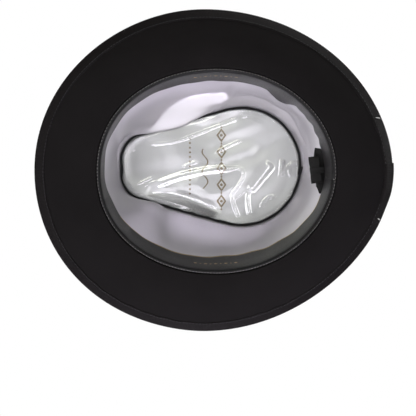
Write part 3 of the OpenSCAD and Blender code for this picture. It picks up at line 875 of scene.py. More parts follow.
def hat_ribbon():
    ribs = 540
    n = ribs * 4
    a = np.arange(n) * 360.0 / n
    rib = 0.10 * np.cos(np.arange(n) * 2 * np.pi / 4)
    v = np.array([0, 0.02, 0.05, 0.15, 0.3, 0.45, 0.6, 0.75, 0.87, 0.95, 0.98, 1.0])
    outer, inner = [], []
    for t in v:
        z = BAND_Z + t * BAND_W + 0.35 * ripple(a, 0, 41, ka=(3, 9)) * t + 0.2 * ripple(a, 0, 42, ka=(5, 14)) * (1 - t)
        puck = 0.22 * ripple(a, t * 0.4, 43, n=18, ka=(6, 28)) * (0.35 + abs(2 * t - 1) ** 3)
        sel = -0.16 * (t in (0, 1.0)) + 0.05 * (t in (0.02, 0.98))
        dep = 0.30 + BAND_T + puck * 0.5 + rib * (0.4 if t in (0, 1.0) else 1.0) + sel
        outer.append(outside(z, a, dep))
        inner.append(outside(z, a, 0.16 + 0 * a))
    P = np.concatenate([np.array(outer), np.array(inner)[::-1]])
    m = len(v)
    UV = np.stack(np.broadcast_arrays((a / 360 * 0.62)[None, :], (v * 0.038)[:, None]), -1)
    UV = np.concatenate([UV, UV[::-1]])
    ob = outward(shell("hat_ribbon", P, True, False, UV.reshape(-1, 2)))
    return dress(ob, "grosgrain", "grosgrain", "hatband")


hat_ribbon()

# ------------------------------------------------------------- side bow

BOW_A = 92.0
MMDEG = 360 / 620.0
BOW_D = 0.25 + BAND_T + 0.2
ZMID = BAND_Z + BAND_W / 2


def bow_loop(name, cad, sgn, length, seed):
    """A flat loop of ribbon: out along the hat, folded, and back underneath."""
    over, back = np.linspace(0, 1, 40), np.linspace(1, 0, 34)
    fold_r = 1.75
    path = []
    for u in over:
        swell = 2.2 * np.sin(np.pi * min(1, u * 0.8 + 0.2)) ** 0.8
        path.append((u * (length - fold_r), BOW_D + 2.6 + swell))
    top_d = path[-1][1]
    low_d = BOW_D + 1.25
    for q in np.linspace(0, 180, 16)[1:-1]:
        c = (top_d + low_d) / 2
        path.append((length - fold_r + fold_r * sd(q), c + (top_d - low_d) / 2 * cd(q)))
    for u in back:
        path.append((u * (length - fold_r), low_d))
    path = np.array(path)
    seg = np.concatenate([[0], np.cumsum(np.linalg.norm(np.diff(path, axis=0), axis=1))])
    n = int(seg[-1] / 1.15) * 4
    s = np.linspace(0, seg[-1], n)
    x, d = np.interp(s, seg, path[:, 0]), np.interp(s, seg, path[:, 1])
    rib = 0.085 * np.cos(np.arange(n) * np.pi / 2)
    u = np.clip(x / length, 0, 1)
    hw = (BAND_W / 2 - 1.0) * mix(0.80, 1.0, ease(u / 0.55))
    v = np.linspace(-1, 1, 25)
    outer_layer = np.where(s < seg[39], 1.0, 0.0)
    rows_o, rows_i = [], []
    for t in v:
        pleat = outer_layer * 0.9 * (1 - ease(u / 0.6)) * np.cos(3.1 * np.pi * t + 0.6)
        sag = 0.3 * ripple(x * 4, t * 0.5, seed, ka=(1, 4), kv=(0, 1)) * outer_layer
        a = BOW_A + sgn * (6.2 + x) * MMDEG
        z = ZMID + t * hw + 0.5 * np.sin(np.pi * u) * t
        edge_in = -0.5 * outer_layer * abs(t) ** 6
        dd = d + pleat + sag + edge_in
        rows_o.append((z, a, dd))
    mid = np.array([outside(z, a, dd) for z, a, dd in rows_o])
    nrm = normals_of(mid)
    h = 0.32
    up, dn = mid + nrm * (h + rib[None, :, None]), mid - nrm * (h - 0.3 * rib[None, :, None])
    P = np.concatenate([dn, up[::-1]])
    UV = np.stack(np.broadcast_arrays((s * MM)[None, :], (v * 0.018)[:, None]), -1)
    UV = np.concatenate([UV, UV[::-1]])
    ob = outward(shell(name, P, False, False, UV.reshape(-1, 2)))
    return dress(ob, "grosgrain", "grosgrain", cad)


bow_loop("bow_front_loop", "hatband_bow_front_loop", -1, 31, 51)
bow_loop("bow_back_loop", "hatband_bow_back_loop", 1, 29, 52)


def bow_tail():
    n, m = 4 * 42, 25
    u, v = np.linspace(0, 1, n), np.linspace(-1, 1, m)
    rows = []
    for t in v:
        end = 6.2 + 44 - 9.0 * (1 - abs(t))
        x = u * end
        a = BOW_A + x * MMDEG
        z = ZMID + t * (BAND_W / 2 - 0.8)
        lift_ = 1.0 * ease((x - 30) / 22) * (0.7 + 0.3 * np.cos(2 * np.pi * t))
        d = BOW_D + 0.45 + lift_ + 0.12 * np.sin(x / 5.0 + t)
        rows.append(outside(z, a, d))
    mid = np.array(rows)
    nrm = normals_of(mid)
    rib = 0.08 * np.cos(u * 42 * 2 * np.pi)
    up, dn = mid + nrm * (0.3 + rib[None, :, None]), mid - nrm * 0.3
    P = np.concatenate([dn, up[::-1]])
    UV = np.stack(np.broadcast_arrays((u * 0.05)[None, :], (v * 0.018)[:, None]), -1)
    UV = np.concatenate([UV, UV[::-1]])
    ob = outward(shell("bow_tail", P, False, False, UV.reshape(-1, 2)))
    return dress(ob, "grosgrain", "grosgrain", "hatband_bow_tail")


bow_tail()


def bow_wrap():
    """The folded ribbon over the middle of the bow: lengthwise pleats, ribs across."""
    half = 6.6
    path = []
    for q in np.linspace(-1, 1, 60):
        path.append((ZMID + q * (BAND_W / 2 + 0.2), BOW_D + 4.6 + 0.5 * (1 - q ** 4)))
    r = 2.0
    top = [(ZMID + BAND_W / 2 + 0.2 + r * 0.35 * sd(q), BOW_D + 4.6 - r * (1 - cd(q))) for q in np.linspace(0, 120, 10)[1:]]
    bot = [(ZMID - BAND_W / 2 - 0.2 - r * 0.35 * sd(q), BOW_D + 4.6 - r * (1 - cd(q))) for q in np.linspace(120, 0, 10)[:-1]]
    path = np.array(bot + path + top)
    seg = np.concatenate([[0], np.cumsum(np.linalg.norm(np.diff(path, axis=0), axis=1))])
    ribs = int(seg[-1] / 1.15)
    n = ribs * 4
    s = np.linspace(0, seg[-1], n)
    z, d = np.interp(s, seg, path[:, 0]), np.interp(s, seg, path[:, 1])
    rib = 0.08 * np.cos(np.arange(n) * np.pi / 2)
    v = np.linspace(-1, 1, 33)
    rows = []
    for t in v:
        w = half * (0.92 + 0.08 * ((z - ZMID) / (BAND_W / 2)) ** 2)
        pleat = 0.55 * np.cos(2.2 * np.pi * t + 0.5) * (0.6 + 0.4 * np.cos((z - ZMID) / 14))
        dd = d + pleat - 2.4 * abs(t) ** 5
        a = BOW_A + t * w * MMDEG
        rows.append(outside(z, a, dd))
    mid = np.array(rows)
    nrm = normals_of(mid)
    up, dn = mid + nrm * (0.32 + rib[None, :, None]), mid - nrm * 0.32
    P = np.concatenate([dn, up[::-1]])
    UV = np.stack(np.broadcast_arrays((s * MM)[None, :], (v * 0.0066)[:, None]), -1)
    UV = np.concatenate([UV, UV[::-1]])
    ob = outward(shell("bow_wrap", P, False, False, UV.reshape(-1, 2)))
    return dress(ob, "grosgrain", "grosgrain", "hatband_bow_wrap")


bow_wrap()


def band_tacks():
    items = []
    for a in (18, 56, 128, 162, 204, 252, 306):
        for top in (0, 1):
            z = BAND_Z + (BAND_W - 1.4 if top else 1.4)
            p = outside(np.array([z]), np.array([float(a)]), np.array([0.3 + BAND_T + 0.08]))[0]
            n = dirs(a)
            d = unit(np.cross([0, 0, 1], n))
            for sk in (-0.4, 0.35):
                dd = unit(d + np.array([0, 0, sk]))
                items.append((p, dd * 1.2, np.cross(n, dd) * 0.2, n * 0.18))
    ob = threads("band_tacks", items)
    return dress(ob, "dark_thread", "dark_thread", "hatband_tacks")


band_tacks()

# ------------------------------------------------------------- sweatband

SWEAT_H, SWEAT_T = 35.0, 1.0
SEAM_A = 183.9


# how far the free edge leans in, by direction
TUCK = [[-10, 3.2], [0, 2.4], [15, 2.9], [30, 3.7], [45, 5.0], [60, 6.2], [75, 6.8], [90, 6.8], [105, 6.0],
        [114, 5.1], [122, 4.7], [128, 6.9], [133, 8.3], [136.5, 7.3], [139.5, 4.2], [142.5, 2.0], [147, 2.4], [155, 2.2],
        [163, 2.6], [168, 2.9], [176, 2.5], [190, 1.8], [205, 2.5], [215, 3.8], [225, 4.9], [235, 6.0], [245, 7.2],
        [255, 8.0], [265, 7.9], [275, 7.5], [285, 7.4], [295, 7.5], [305, 7.1], [315, 6.8], [325, 6.2], [335, 5.5],
        [342, 4.5], [350, 3.2], [360, 2.4], [375, 2.9]]


def sweat_r(z, a):
    """Radius of the middle of the leather above its roll."""
    z, a = np.broadcast_arrays(np.asarray(z, float), np.asarray(a, float))
    t = np.maximum(0, (z - 3) / (SWEAT_H - 3))
    body = open_r(a) - 3.1 - curve(np.mod(a, 360.0), TUCK) * t ** 1.5
    # soft buckles of the leather, stronger near the free edge and behind the left temple
    buck = 0.30 * ripple(a, t * 0.4, 61, n=16, ka=(7, 22), kv=(0, 1)) * t
    back = 0.55 * np.cos(np.radians(a) * 46 + 0.8 * np.sin(t * 2)) * bell(turn(a, 158), 13) * ease(t * 1.3)
    return body + buck + back


def sweat_pt(z, a, d=0.0):
    """A point on the head face of the leather, d above it."""
    z, a = np.broadcast_arrays(np.asarray(z, float), np.asarray(a, float))
    p = (sweat_r(z, a) - SWEAT_T / 2 - d)[..., None] * dirs(a)
    p[..., 2] = z
    return p


def sweatband():
    n = 960
    k = np.linspace(0, 1, n)
    a = SEAM_A + 0.12 + k * 359.76
    r0 = open_r(a)
    # section: outer cut edge on the felt, the roll over the reed, the groove of the seam, the face
    prof = [(-0.35, 1.05), (-0.75, 0.80), (-1.25, 0.66), (-1.8, 0.72), (-2.3, 0.98), (-2.7, 1.45), (-2.95, 2.1),
            (-3.02, 2.8), (-3.0, 3.4)]
    mid = []
    for off, z in prof:
        p = (r0 + off)[:, None] * dirs(a)
        p[:, 2] = z
        mid.append(p)
    zs = np.concatenate([np.linspace(4.2, 32, 24), np.linspace(32.8, SWEAT_H, 5)])
    for z in zs:
        p = sweat_r(np.full(n, z), a)[:, None] * dirs(a)
        p[:, 2] = z + 0.25 * ripple(a, 0, 63, ka=(3, 12)) * ease((z - 20) / 15)
        mid.append(p)
    mid = np.array(mid)
    nrm = normals_of(mid)
    if nrm[20, 10] @ dirs(a[10]) > 0:
        nrm = -nrm
    half = np.full(len(mid), SWEAT_T / 2)
    half[:6] = 0.42
    half[0] = 0.30
    half[-1] = 0.34
    # the seam's groove and its needle holes on the head side
    groove = np.zeros(mid.shape[:2])
    g_row = 7
    groove[g_row] = 0.26
    groove[g_row - 1] = groove[g_row + 1] = 0.12
    up = mid + nrm * (half[:, None] - groove)[..., None]
    dn = mid - nrm * half[:, None, None]
    P = np.concatenate([dn, up[::-1]])
    zz = np.concatenate([np.linspace(0, 4, len(prof)), zs])
    UV = np.stack(np.broadcast_arrays((k * 0.585)[None, :], (zz * MM)[:, None]), -1)
    UV = np.concatenate([UV, UV[::-1]])
    ob = outward(shell("sweat_leather", P, False, False, UV.reshape(-1, 2)))
    return dress(ob, "leather", "leather", "sweatband")


sweatband()


def sweat_trim():
    a = np.arange(0, 360, 1.0)
    line = (open_r(a) - 1.42)[:, None] * dirs(a)
    line[:, 2] = 2.45
    reed = tube("sweat_reed", line, 0.88, 10)
    dress(reed, "reed", "reed", "sweatband_reed")

    items = []
    r = np.random.RandomState(7)
    for k in range(216):
        b = k * 360 / 216 + r.uniform(-0.1, 0.1)
        nn = dirs(b)
        d = unit(np.cross([0, 0, 1], nn))
        c = (open_r(np.array([b]))[0] - 0.62) * nn + [0, 0, 0.42]
        sk = unit(d + nn * r.uniform(-0.1, 0.1))
        items.append((c, sk * 1.0, nn * 0.24, np.array([0, 0, -0.2])))
    st = threads("sweat_stitches", items)
    dress(st, "grey_thread", "grey_thread", "sweatband_stitching")

    # the line near the free edge
    k = np.linspace(0, 1, 420)
    b = SEAM_A + 10 + k * 140
    rows = []
    for z, d in ((33.1, 0.02), (33.15, 0.12), (34.05, 0.12), (34.1, 0.02)):
        rows.append(sweat_pt(np.full_like(b, z), b, d))
    rows = np.array(rows)
    back = rows[::-1].copy()
    back -= (dirs(b) * -0.06)[None]
    ob = outward(shell("gilt_line", np.concatenate([rows, back]), False))
    dress(ob, "gilt_bright", "gilt", "sweatband_gilt_edge")

    # a small row of lozenges on each side
    V, F = [], []
    base = 0
    for side in (90, 270):
        for j in range(-4, 5):
            b = side + j * 3.1
            big = j % 2 == 0
            L, H = (1.7, 0.9) if big else (0.8, 0.6)
            z0 = 19.0
            ring = []
            for q in range(16):
                t = 2 * np.pi * q / 16
                e = 1.35
                x = np.sign(np.cos(t)) * abs(np.cos(t)) ** e * L
                y = np.sign(np.sin(t)) * abs(np.sin(t)) ** e * H
                ring.append((b + np.degrees(x / 88.0), z0 + y))
            ring = np.array(ring)
            lo = sweat_pt(ring[:, 1], ring[:, 0], -0.03)
            hi = sweat_pt(ring[:, 1], ring[:, 0], 0.07)
            c_lo = sweat_pt(np.array([z0]), np.array([b]), -0.03)
            c_hi = sweat_pt(np.array([z0]), np.array([b]), 0.10)
            V += [lo, hi, c_lo, c_hi]
            i = np.arange(16)
            j2 = (i + 1) % 16
            F.append((np.stack([i, j2, 16 + j2, 16 + i], -1) + base,
                      np.stack([np.full(16, 33), 16 + i, 16 + j2], -1) + base,
                      np.stack([np.full(16, 32), j2, i], -1) + base))
            base += 34
    ob = outward(make_object("foil_marks", np.concatenate(V),
                             [np.concatenate([f[0] for f in F]), np.concatenate([np.concatenate(f[1:]) for f in F])]))
    dress(ob, "gilt_bright", "gilt", "sweatband_foil_marks")

    # back joint: a small zigzag of light thread
    items = []
    for q in range(1, 10):
        z = 3 + (SWEAT_H - 8) * q / 9
        p = sweat_pt(np.array([z]), np.array([SEAM_A]), 0.08)[0]
        nn = dirs(SEAM_A)
        d = unit(np.cross([0, 0, 1], nn) + np.array([0, 0, 0.8 if q % 2 else -0.8]))
        items.append((p, d * 1.0, np.cross(nn, d) * 0.16, -nn * 0.12))
    ob = threads("joint_stitches", items)
    dress(ob, "seam_thread", "light_thread", "sweatband_seam_stitches")

    # tape behind the joint
    b = SEAM_A + np.linspace(-4, 4, 33)
    rows = []
    for z in np.linspace(5, SWEAT_H - 2, 20):
        t = max(0, (z - 3) / (SWEAT_H - 3))
        p = (open_r(b) - 3.1 - curve(b, TUCK) * t ** 1.5 + SWEAT_T / 2 + 0.75)[:, None] * dirs(b)
        p[:, 2] = z
        rows.append(p)
    ob = strip_shell("joint_tape", np.array(rows), 0.2)
    dress(ob, "grosgrain", "grosgrain", "sweatband_joint_tape")


sweat_trim()

# ---------------------------------------------------- small bow at the back

BOW_Z = SWEAT_H + 1.6


def flat_ribbon(name, pts, width, z, cad=None, taper=None, ribs_mm=1.0, thick=0.5, wav=0.15, seed=1):
    """A flat ribbon along pts[k, 2] in plan at height z[k]; ribs across its length."""
    pts = np.asarray(pts, float)
    z = np.broadcast_to(np.asarray(z, float), (len(pts),))
    seg = np.concatenate([[0], np.cumsum(np.linalg.norm(np.diff(pts, axis=0), axis=1))])
    n = max(8, int(seg[-1] / ribs_mm) * 4)
    s = np.linspace(0, seg[-1], n)

    def sm(y):
        return curve(s, list(zip(seg, y)))

    x, y, zz = sm(pts[:, 0]), sm(pts[:, 1]), sm(z)
    t = unit(np.stack([np.gradient(x), np.gradient(y), 0 * x], -1))
    side = np.stack([-t[:, 1], t[:, 0], 0 * x], -1)
    v = np.linspace(-1, 1, 13)
    w = width / 2 * (np.ones(n) if taper is None else np.interp(s / seg[-1], *taper))
    rows = []
    for q in v:
        p = np.stack([x, y, zz], -1) + side * (q * w)[:, None]
        p[:, 2] += wav * np.cos(q * 3 + s * 0.5 + seed)
        rows.append(p)
    mid = np.array(rows)
    nrm = normals_of(mid)
    rib = 0.06 * np.cos(np.arange(n) * np.pi / 2)
    up = mid + nrm * (thick / 2 + rib)[None, :, None]
    dn = mid - nrm * (thick / 2 + rib)[None, :, None]
    P = np.concatenate([dn, up[::-1]])
    UV = np.stack(np.broadcast_arrays((s * MM)[None, :], (v * width / 2 * MM)[:, None]), -1)
    UV = np.concatenate([UV, UV[::-1]])
    return outward(shell(name, P, False, False, UV.reshape(-1, 2)))


def join(name, obs):
    with bpy.context.temp_override(active_object=obs[0], selected_editable_objects=obs, selected_objects=obs):
        bpy.ops.object.join()
    obs[0].name = name
    obs[0].data.name = name
    return obs[0]


def inner_bow():
    # loop: a flattened ring of ribbon, upper and lower layer joined at both folds
    c, rot = np.array([-0.4, 88.2]), math.radians(-7)
    R = np.array([[math.cos(rot), -math.sin(rot)], [math.sin(rot), math.cos(rot)]])
    q = np.linspace(0, 2 * np.pi, 4 * 58, endpoint=False)
    L, H = 11.6, 1.45
    px = np.sign(np.cos(q)) * np.abs(np.cos(q)) ** 0.55 * L
    pz = np.sign(np.sin(q)) * np.abs(np.sin(q)) ** 0.75 * H
    v = np.linspace(-1, 1, 13)
    rows = []
    for t in v:
        w = 4.75 * (1 - 0.16 * bell(px, 4.0))
        xy = np.stack([px, t * w], -1) @ R.T + c
        rows.append(np.stack([xy[:, 0], xy[:, 1], BOW_Z + pz * (1 + 0.12 * t)], -1))
    mid = np.array(rows)
    nrm = normals_of(mid, True)
    rib = 0.06 * np.cos(np.arange(len(q)) * np.pi / 2)
    P = np.concatenate([mid - nrm * 0.22, (mid + nrm * (0.22 + rib)[None, :, None])[::-1]])
    loop = outward(shell("inner_bow_loop", P, True))
    dress(loop, "grosgrain", "grosgrain", "sweatband_bow_loop")

    t1 = flat_ribbon("tail_a", [(1, 91.8), (8, 91.8), (14, 92.2), (18.2, 92.8)], 9.6, BOW_Z + 2.4, seed=1)
    t2 = flat_ribbon("tail_b", [(-1, 92.0), (-8, 93.2), (-15, 93.8), (-21.5, 92.8)], 9.6, BOW_Z + 2.4,
                     taper=([0, 0.7, 1.0], [1, 0.95, 0.15]), seed=2)
    tails = join("inner_bow_tails", [t1, t2])
    dress(tails, "grosgrain", "grosgrain", "sweatband_bow_tails")

    # knot: a narrow ribbon wrapped round the middle
    q = np.linspace(0, 2 * np.pi, 80, endpoint=False)
    py = np.sign(np.cos(q)) * np.abs(np.cos(q)) ** 0.5 * 6.6
    pz = np.sign(np.sin(q)) * np.abs(np.sin(q)) ** 0.5 * 2.3 + 0.45
    rows = []
    for t in np.linspace(-1, 1, 11):
        xy = np.stack([np.full_like(py, t * 2.9), py], -1) @ R.T + [-0.8, 90.4]
        rows.append(np.stack([xy[:, 0], xy[:, 1], BOW_Z + pz + 0.12 * np.cos(4 * t)], -1))
    mid = np.array(rows)
    nrm = normals_of(mid, True)
    P = np.concatenate([mid - nrm * 0.25, (mid + nrm * 0.25)[::-1]])
    knot = outward(shell("inner_bow_knot", P, True))
    dress(knot, "grosgrain", "grosgrain", "sweatband_bow_knot")


inner_bow()

# --------------------------------------------------------------- lining

TIP_Z = 92.0
PIPE_R = 1.1
SATIN_T = 0.45
LIN_Z0, LIN_Z1 = 20.0, SWEAT_H + 2
LIN_Z2 = TIP_Z - 0.4


def tip_shape(a, off=0.0):
    """The tip's sewn outline."""
    return tip_r(a, off)


def hug_r(z, a):
    return wall_r(z / CREST_MID, a) - 0.9


def slack(a):
    return 2.5 + 5 * sd(a) ** 2 - 7 * (bell(turn(a, 33), 15) + bell(turn(a, -33), 15))


SHELF = [(0, 0), (4.2, 3.0), (7.4, 7.4), (14.6, 25.0), (22, 33), (80, 82)]


def lining_side():
    n = 600
    a = np.arange(n) * 360.0 / n
    rows = []
    Z = np.concatenate([np.linspace(LIN_Z0, LIN_Z1, 6), np.linspace(LIN_Z1, 68, 24)[1:], np.linspace(68, LIN_Z2, 50)[1:]])
    cone = hug_r(np.full(n, LIN_Z1), a)
    tipr = tip_shape(a, PIPE_R + 0.3)
    for z in Z:
        if z <= LIN_Z1:
            r = hug_r(np.full(n, z), a)
        else:
            t = (z - LIN_Z1) / (LIN_Z2 - LIN_Z1)
            r = mix(cone, tipr, t) + slack(a) * np.sin(np.pi * t ** 1.5)
            # along the front left the cloth lies against the felt, then comes in on a shelf
            shelf = ease((a + 4) / 26) * ease((113 - 9 * t - a) / 7)
            h1 = hug_r(np.full(n, z), a) - 1.3
            k = curve(a, [(0, 0.40), (22, 0.44), (40, 0.62), (62, 0.84), (84, 0.92), (330, 1.0), (360, 0.40)])
            h2 = tipr + k * np.array([curve((LIN_Z2 - z) / q, SHELF) for q in k])
            r = mix(r, -1.6 * np.logaddexp(-h1 / 1.6, -h2 / 1.6), shelf)
            # and laps over the piping, less and less towards the back
            lap = curve(a, [(0, 0), (19, 0), (30, 4.6), (44, 5.6), (58, 5.2), (70, 4.0), (84, 1.6), (98, 0), (360, 0)])
            r = r - lap * bell(LIN_Z2 - z - 3.4, 2.3)
            mid = np.sin(np.pi * t)
            low = bell(t - 0.86, 0.17) * ease((1 - t) / 0.06)
            # the cloth is pressed in by the two pinches and laps over the piping there
            r = r - (2.0 * bell(turn(a, 33), 13) + 2.4 * bell(turn(a, 50), 14)) * low
            r = r - (4.2 * bell(turn(a, -31), 11)) * low
            r = r - 1.2 * bell(turn(a, 122 - 18 * t), 8) * mid
            r = r - 0.8 * bell(turn(a, -52 + 14 * t), 9) * mid + 0.6 * bell(turn(a, -66 + 16 * t), 10) * mid
            r = r - 1.2 * bell(turn(a, 146 - 14 * t), 5) * mid + 0.9 * bell(turn(a, 154 - 12 * t), 5) * mid
            # a crease runs round the back left, close to the piping
            back = ease((a - 104) / 14) * ease((186 - a) / 16)
            r = r + back * (1.5 * bell(t - 0.80, 0.05) - 1.0 * bell(t - 0.70, 0.06))
            r = r - 1.3 * bell(turn(a, 141 + 22 * t), 4) * mid + 0.9 * bell(turn(a, 168 - 30 * t), 5) * mid
            # loose undulation and small gathers at the sewn edge
            r = r + (0.9 - 0.5 * shelf) * mid * ripple(a, t * 0.6, 71, n=12, ka=(3, 8), kv=(0, 1.0))
            r = r + 0.16 * mid * ripple(a, t * 0.9, 72, n=12, ka=(8, 14), kv=(0, 1.0))
            r = r + 0.05 * ease((t - 0.8) / 0.2) * np.cos(np.radians(a) * 90 + 2 * np.sin(np.radians(a) * 7))
        q = r[:, None] * dirs(a)
        q[:, 2] = z
        rows.append(q)
    mid = np.array(rows)
    nrm = normals_of(mid, True)
    P = np.concatenate([mid - nrm * SATIN_T / 2, (mid + nrm * SATIN_T / 2)[::-1]])
    length = np.concatenate([[0], np.cumsum(np.linalg.norm(np.diff(mid[:, 0], axis=0), axis=1))])
    UV = np.stack(np.broadcast_arrays((a / 360 * 0.5)[None, :], (length * MM)[:, None]), -1)
    UV = np.concatenate([UV, UV[::-1]])
    ob = outward(shell("side_lining", P, True, False, UV.reshape(-1, 2)))
    dress(ob, "satin_side", "satin_side", "lining_side")
    return ob


side = lining_side()


def plate(name, n, rows, height_lo, height_hi, off, centre=(0.0, 10.0), back_rows=None):
    """A thin closed sheet inside the tip's outline; heights are functions of (x, y)."""
    a = np.arange(n) * 360.0 / n
    r = tip_shape(a, off)
    edge = r[:, None] * dirs(a)
    c = np.array([centre[0], centre[1], 0.0])

    def face(k, height):
        flat = np.array([mix(c, edge, q) for q in np.linspace(1, 0, k + 1)[:-1]])
        flat[..., 2] = height(flat[..., 0], flat[..., 1])
        return flat

    lo, hi = face(rows, height_lo), face(back_rows or rows, height_hi)
    P = np.concatenate([lo[::-1], hi])
    m = len(P)
    cx, cy = np.array([c[0]]), np.array([c[1]])
    verts = np.concatenate([P.reshape(-1, 3), [[c[0], c[1], height_lo(cx, cy)[0]], [c[0], c[1], height_hi(cx, cy)[0]]]])
    k = np.arange(n)
    b = (m - 1) * n
    faces = [grid_faces(m, n, True),
             np.stack([np.full(n, m * n), (k + 1) % n, k], -1),
             np.stack([np.full(n, m * n + 1), b + k, b + (k + 1) % n], -1)]
    uv = verts[:, [1, 0]] * MM
    return outward(make_object(name, verts, faces, uv))


def edge_fade(x, y, width=10.0):
    """0 at the tip's outline, 1 further in."""
    a = np.degrees(np.arctan2(x, -y)) % 360
    grid = np.arange(0, 360.5, 0.5)
    r = np.interp(a, grid, tip_r(grid))
    return ease((r - np.hypot(x, y)) / width)


def photo_pt(u, v, z=91.0):
    """Where a point seen at (u, v) in the main view lies at height z."""
    px, py = -(v - 171.7) * 0.85, (u - 216.9) * 0.85
    k = (1250.0 + z) / 1250.0
    return 62.0 + (px - 62.0) * k, -67.0 + (py + 67.0) * k


def smooth_line(pts, step=0.6):
    """A smooth line through points given in the main view, and its share of length."""
    q = np.array([photo_pt(u, v) for u, v in pts])
    if len(q) > 2:
        out = []
        ext = np.concatenate([[2 * q[0] - q[1]], q, [2 * q[-1] - q[-2]]])
        for i in range(1, len(ext) - 2):
            p0, p1, p2, p3 = ext[i - 1:i + 3]
            k = max(2, int(np.linalg.norm(p2 - p1) / step))
            t = np.linspace(0, 1, k, endpoint=False)[:, None]
            out.append(0.5 * (2 * p1 + (p2 - p0) * t + (2 * p0 - 5 * p1 + 4 * p2 - p3) * t ** 2
                              + (3 * p1 - p0 - 3 * p2 + p3) * t ** 3))
        q = np.concatenate(out + [q[-1:]])
    else:
        k = max(2, int(np.linalg.norm(q[1] - q[0]) / step))
        q = q[0] + (q[1] - q[0]) * np.linspace(0, 1, k)[:, None]
    return q


def ridge(x, y, pts, w, ends=0.18):
    """A smooth ridge of height 1 along a line, tapering at both ends."""
    q = smooth_line(pts)
    s = np.linspace(0, 1, len(q))
    g = ease(s / ends) * ease((1 - s) / ends) if ends > 0 else np.ones_like(s)
    best, amp = np.full(x.shape, 1e9), np.zeros(x.shape)
    for (px, py), gi in zip(q, g):
        d = (x - px) ** 2 + (y - py) ** 2
        amp = np.where(d < best, gi, amp)
        best = np.minimum(best, d)
    return amp * np.exp(-best / w ** 2)


def fold_noise(x, y, seed, n=12, wave=(16.0, 44.0), lean_deg=(-34.0, 6.0)):
    """Soft folds that run mostly from front to back."""
    r = np.random.RandomState(seed)
    out = 0.0
    for _ in range(n):
        t, w = math.radians(r.uniform(*lean_deg)), r.uniform(*wave)
        out = out + r.uniform(0.4, 1) * w / 30.0 * np.cos(2 * np.pi * (x * math.cos(t) + y * math.sin(t)) / w + r.uniform(0, 2 * np.pi))
    return out / math.sqrt(0.6 * n)


def groove(x, y, pts, w_up, w_down, ends):
    """A groove of depth 1 along a line, with its own slope on each side of it."""
    q = smooth_line(pts)
    s = np.linspace(0, 1, len(q))
    g = ease(s / ends) * ease((1 - s) / ends)
    best, amp, side = np.full(x.shape, 1e9), np.zeros(x.shape), np.zeros(x.shape)
    for (px, py), gi in zip(q, g):
        d = (x - px) ** 2 + (y - py) ** 2
        near = d < best
        amp, side = np.where(near, gi, amp), np.where(near, x - px, side)
        best = np.minimum(best, d)
    w = np.where(side > 0, w_up, w_down)
    return amp * np.exp(-best / w ** 2)


def tip_height(x, y):
    """Underside of the satin tip: gently uneven, held at its sewn edge."""
    f = edge_fade(x, y, 10)
    calm = 1 - 0.8 * np.exp(-((x - 10) ** 2 + (y + 62) ** 2) / 24.0 ** 2) - 0.7 * np.exp(-((x - 8) ** 2 + (y - 72) ** 2) / 20.0 ** 2)
    h = 0.4 + 0.3 * ease((15 - y) / 60) + 0.5 * ease((y - 45) / 25) + (1.35 * plane_noise(x, y, 81, 16, (50, 110)) + 0.42 * fold_noise(x, y, 82)) * calm
    # a slanting fold along the right front, and soft folds across the middle
    h = h + 1.3 * groove(x, y, [(146, 193), (165, 193.5), (185, 197.5), (203, 204), (224, 213)], 4.6, 9.0, 0.12)
    h = h - 0.8 * ridge(x, y, [(168, 186), (200, 181), (232, 174), (252, 160)], 7.0, 0.2)
    h = h - 1.2 * ridge(x, y, [(205, 165), (238, 152), (262, 150)], 7.0, 0.25)
    return TIP_Z + 0.1 + f * np.maximum(h, -0.9)


tip = plate("tip_lining", 360, 90, tip_height, lambda x, y: tip_height(x, y) + 0.45, 0.2, back_rows=60)
dress(tip, "satin_tip", "satin_tip", "lining_tip")


def piping():
    n = 940
    k = np.linspace(0, 1, n)
    a = 182.7 + 2.6 - k * 365.2
    over = ease((k - 0.982) / 0.018) - 0.5 * ease((0.015 - k) / 0.015)
    r = tip_shape(a, 0.2) + 0.16 * ripple(a, 0, 91, ka=(8, 30)) + 1.5 * over
    line = r[:, None] * dirs(a)
    line[:, 2] = TIP_Z - PIPE_R - 0.1 + 0.15 * ripple(a, 0, 92, ka=(3, 10)) - 1.2 * ease((k - 0.982) / 0.018)
    rad = PIPE_R * (1 + 0.05 * ripple(a, 0, 93, ka=(10, 40)))
    ob = tube("tip_cord", line, rad, 14, False)
    return dress(ob, "piping", "piping", "tip_piping")


piping()

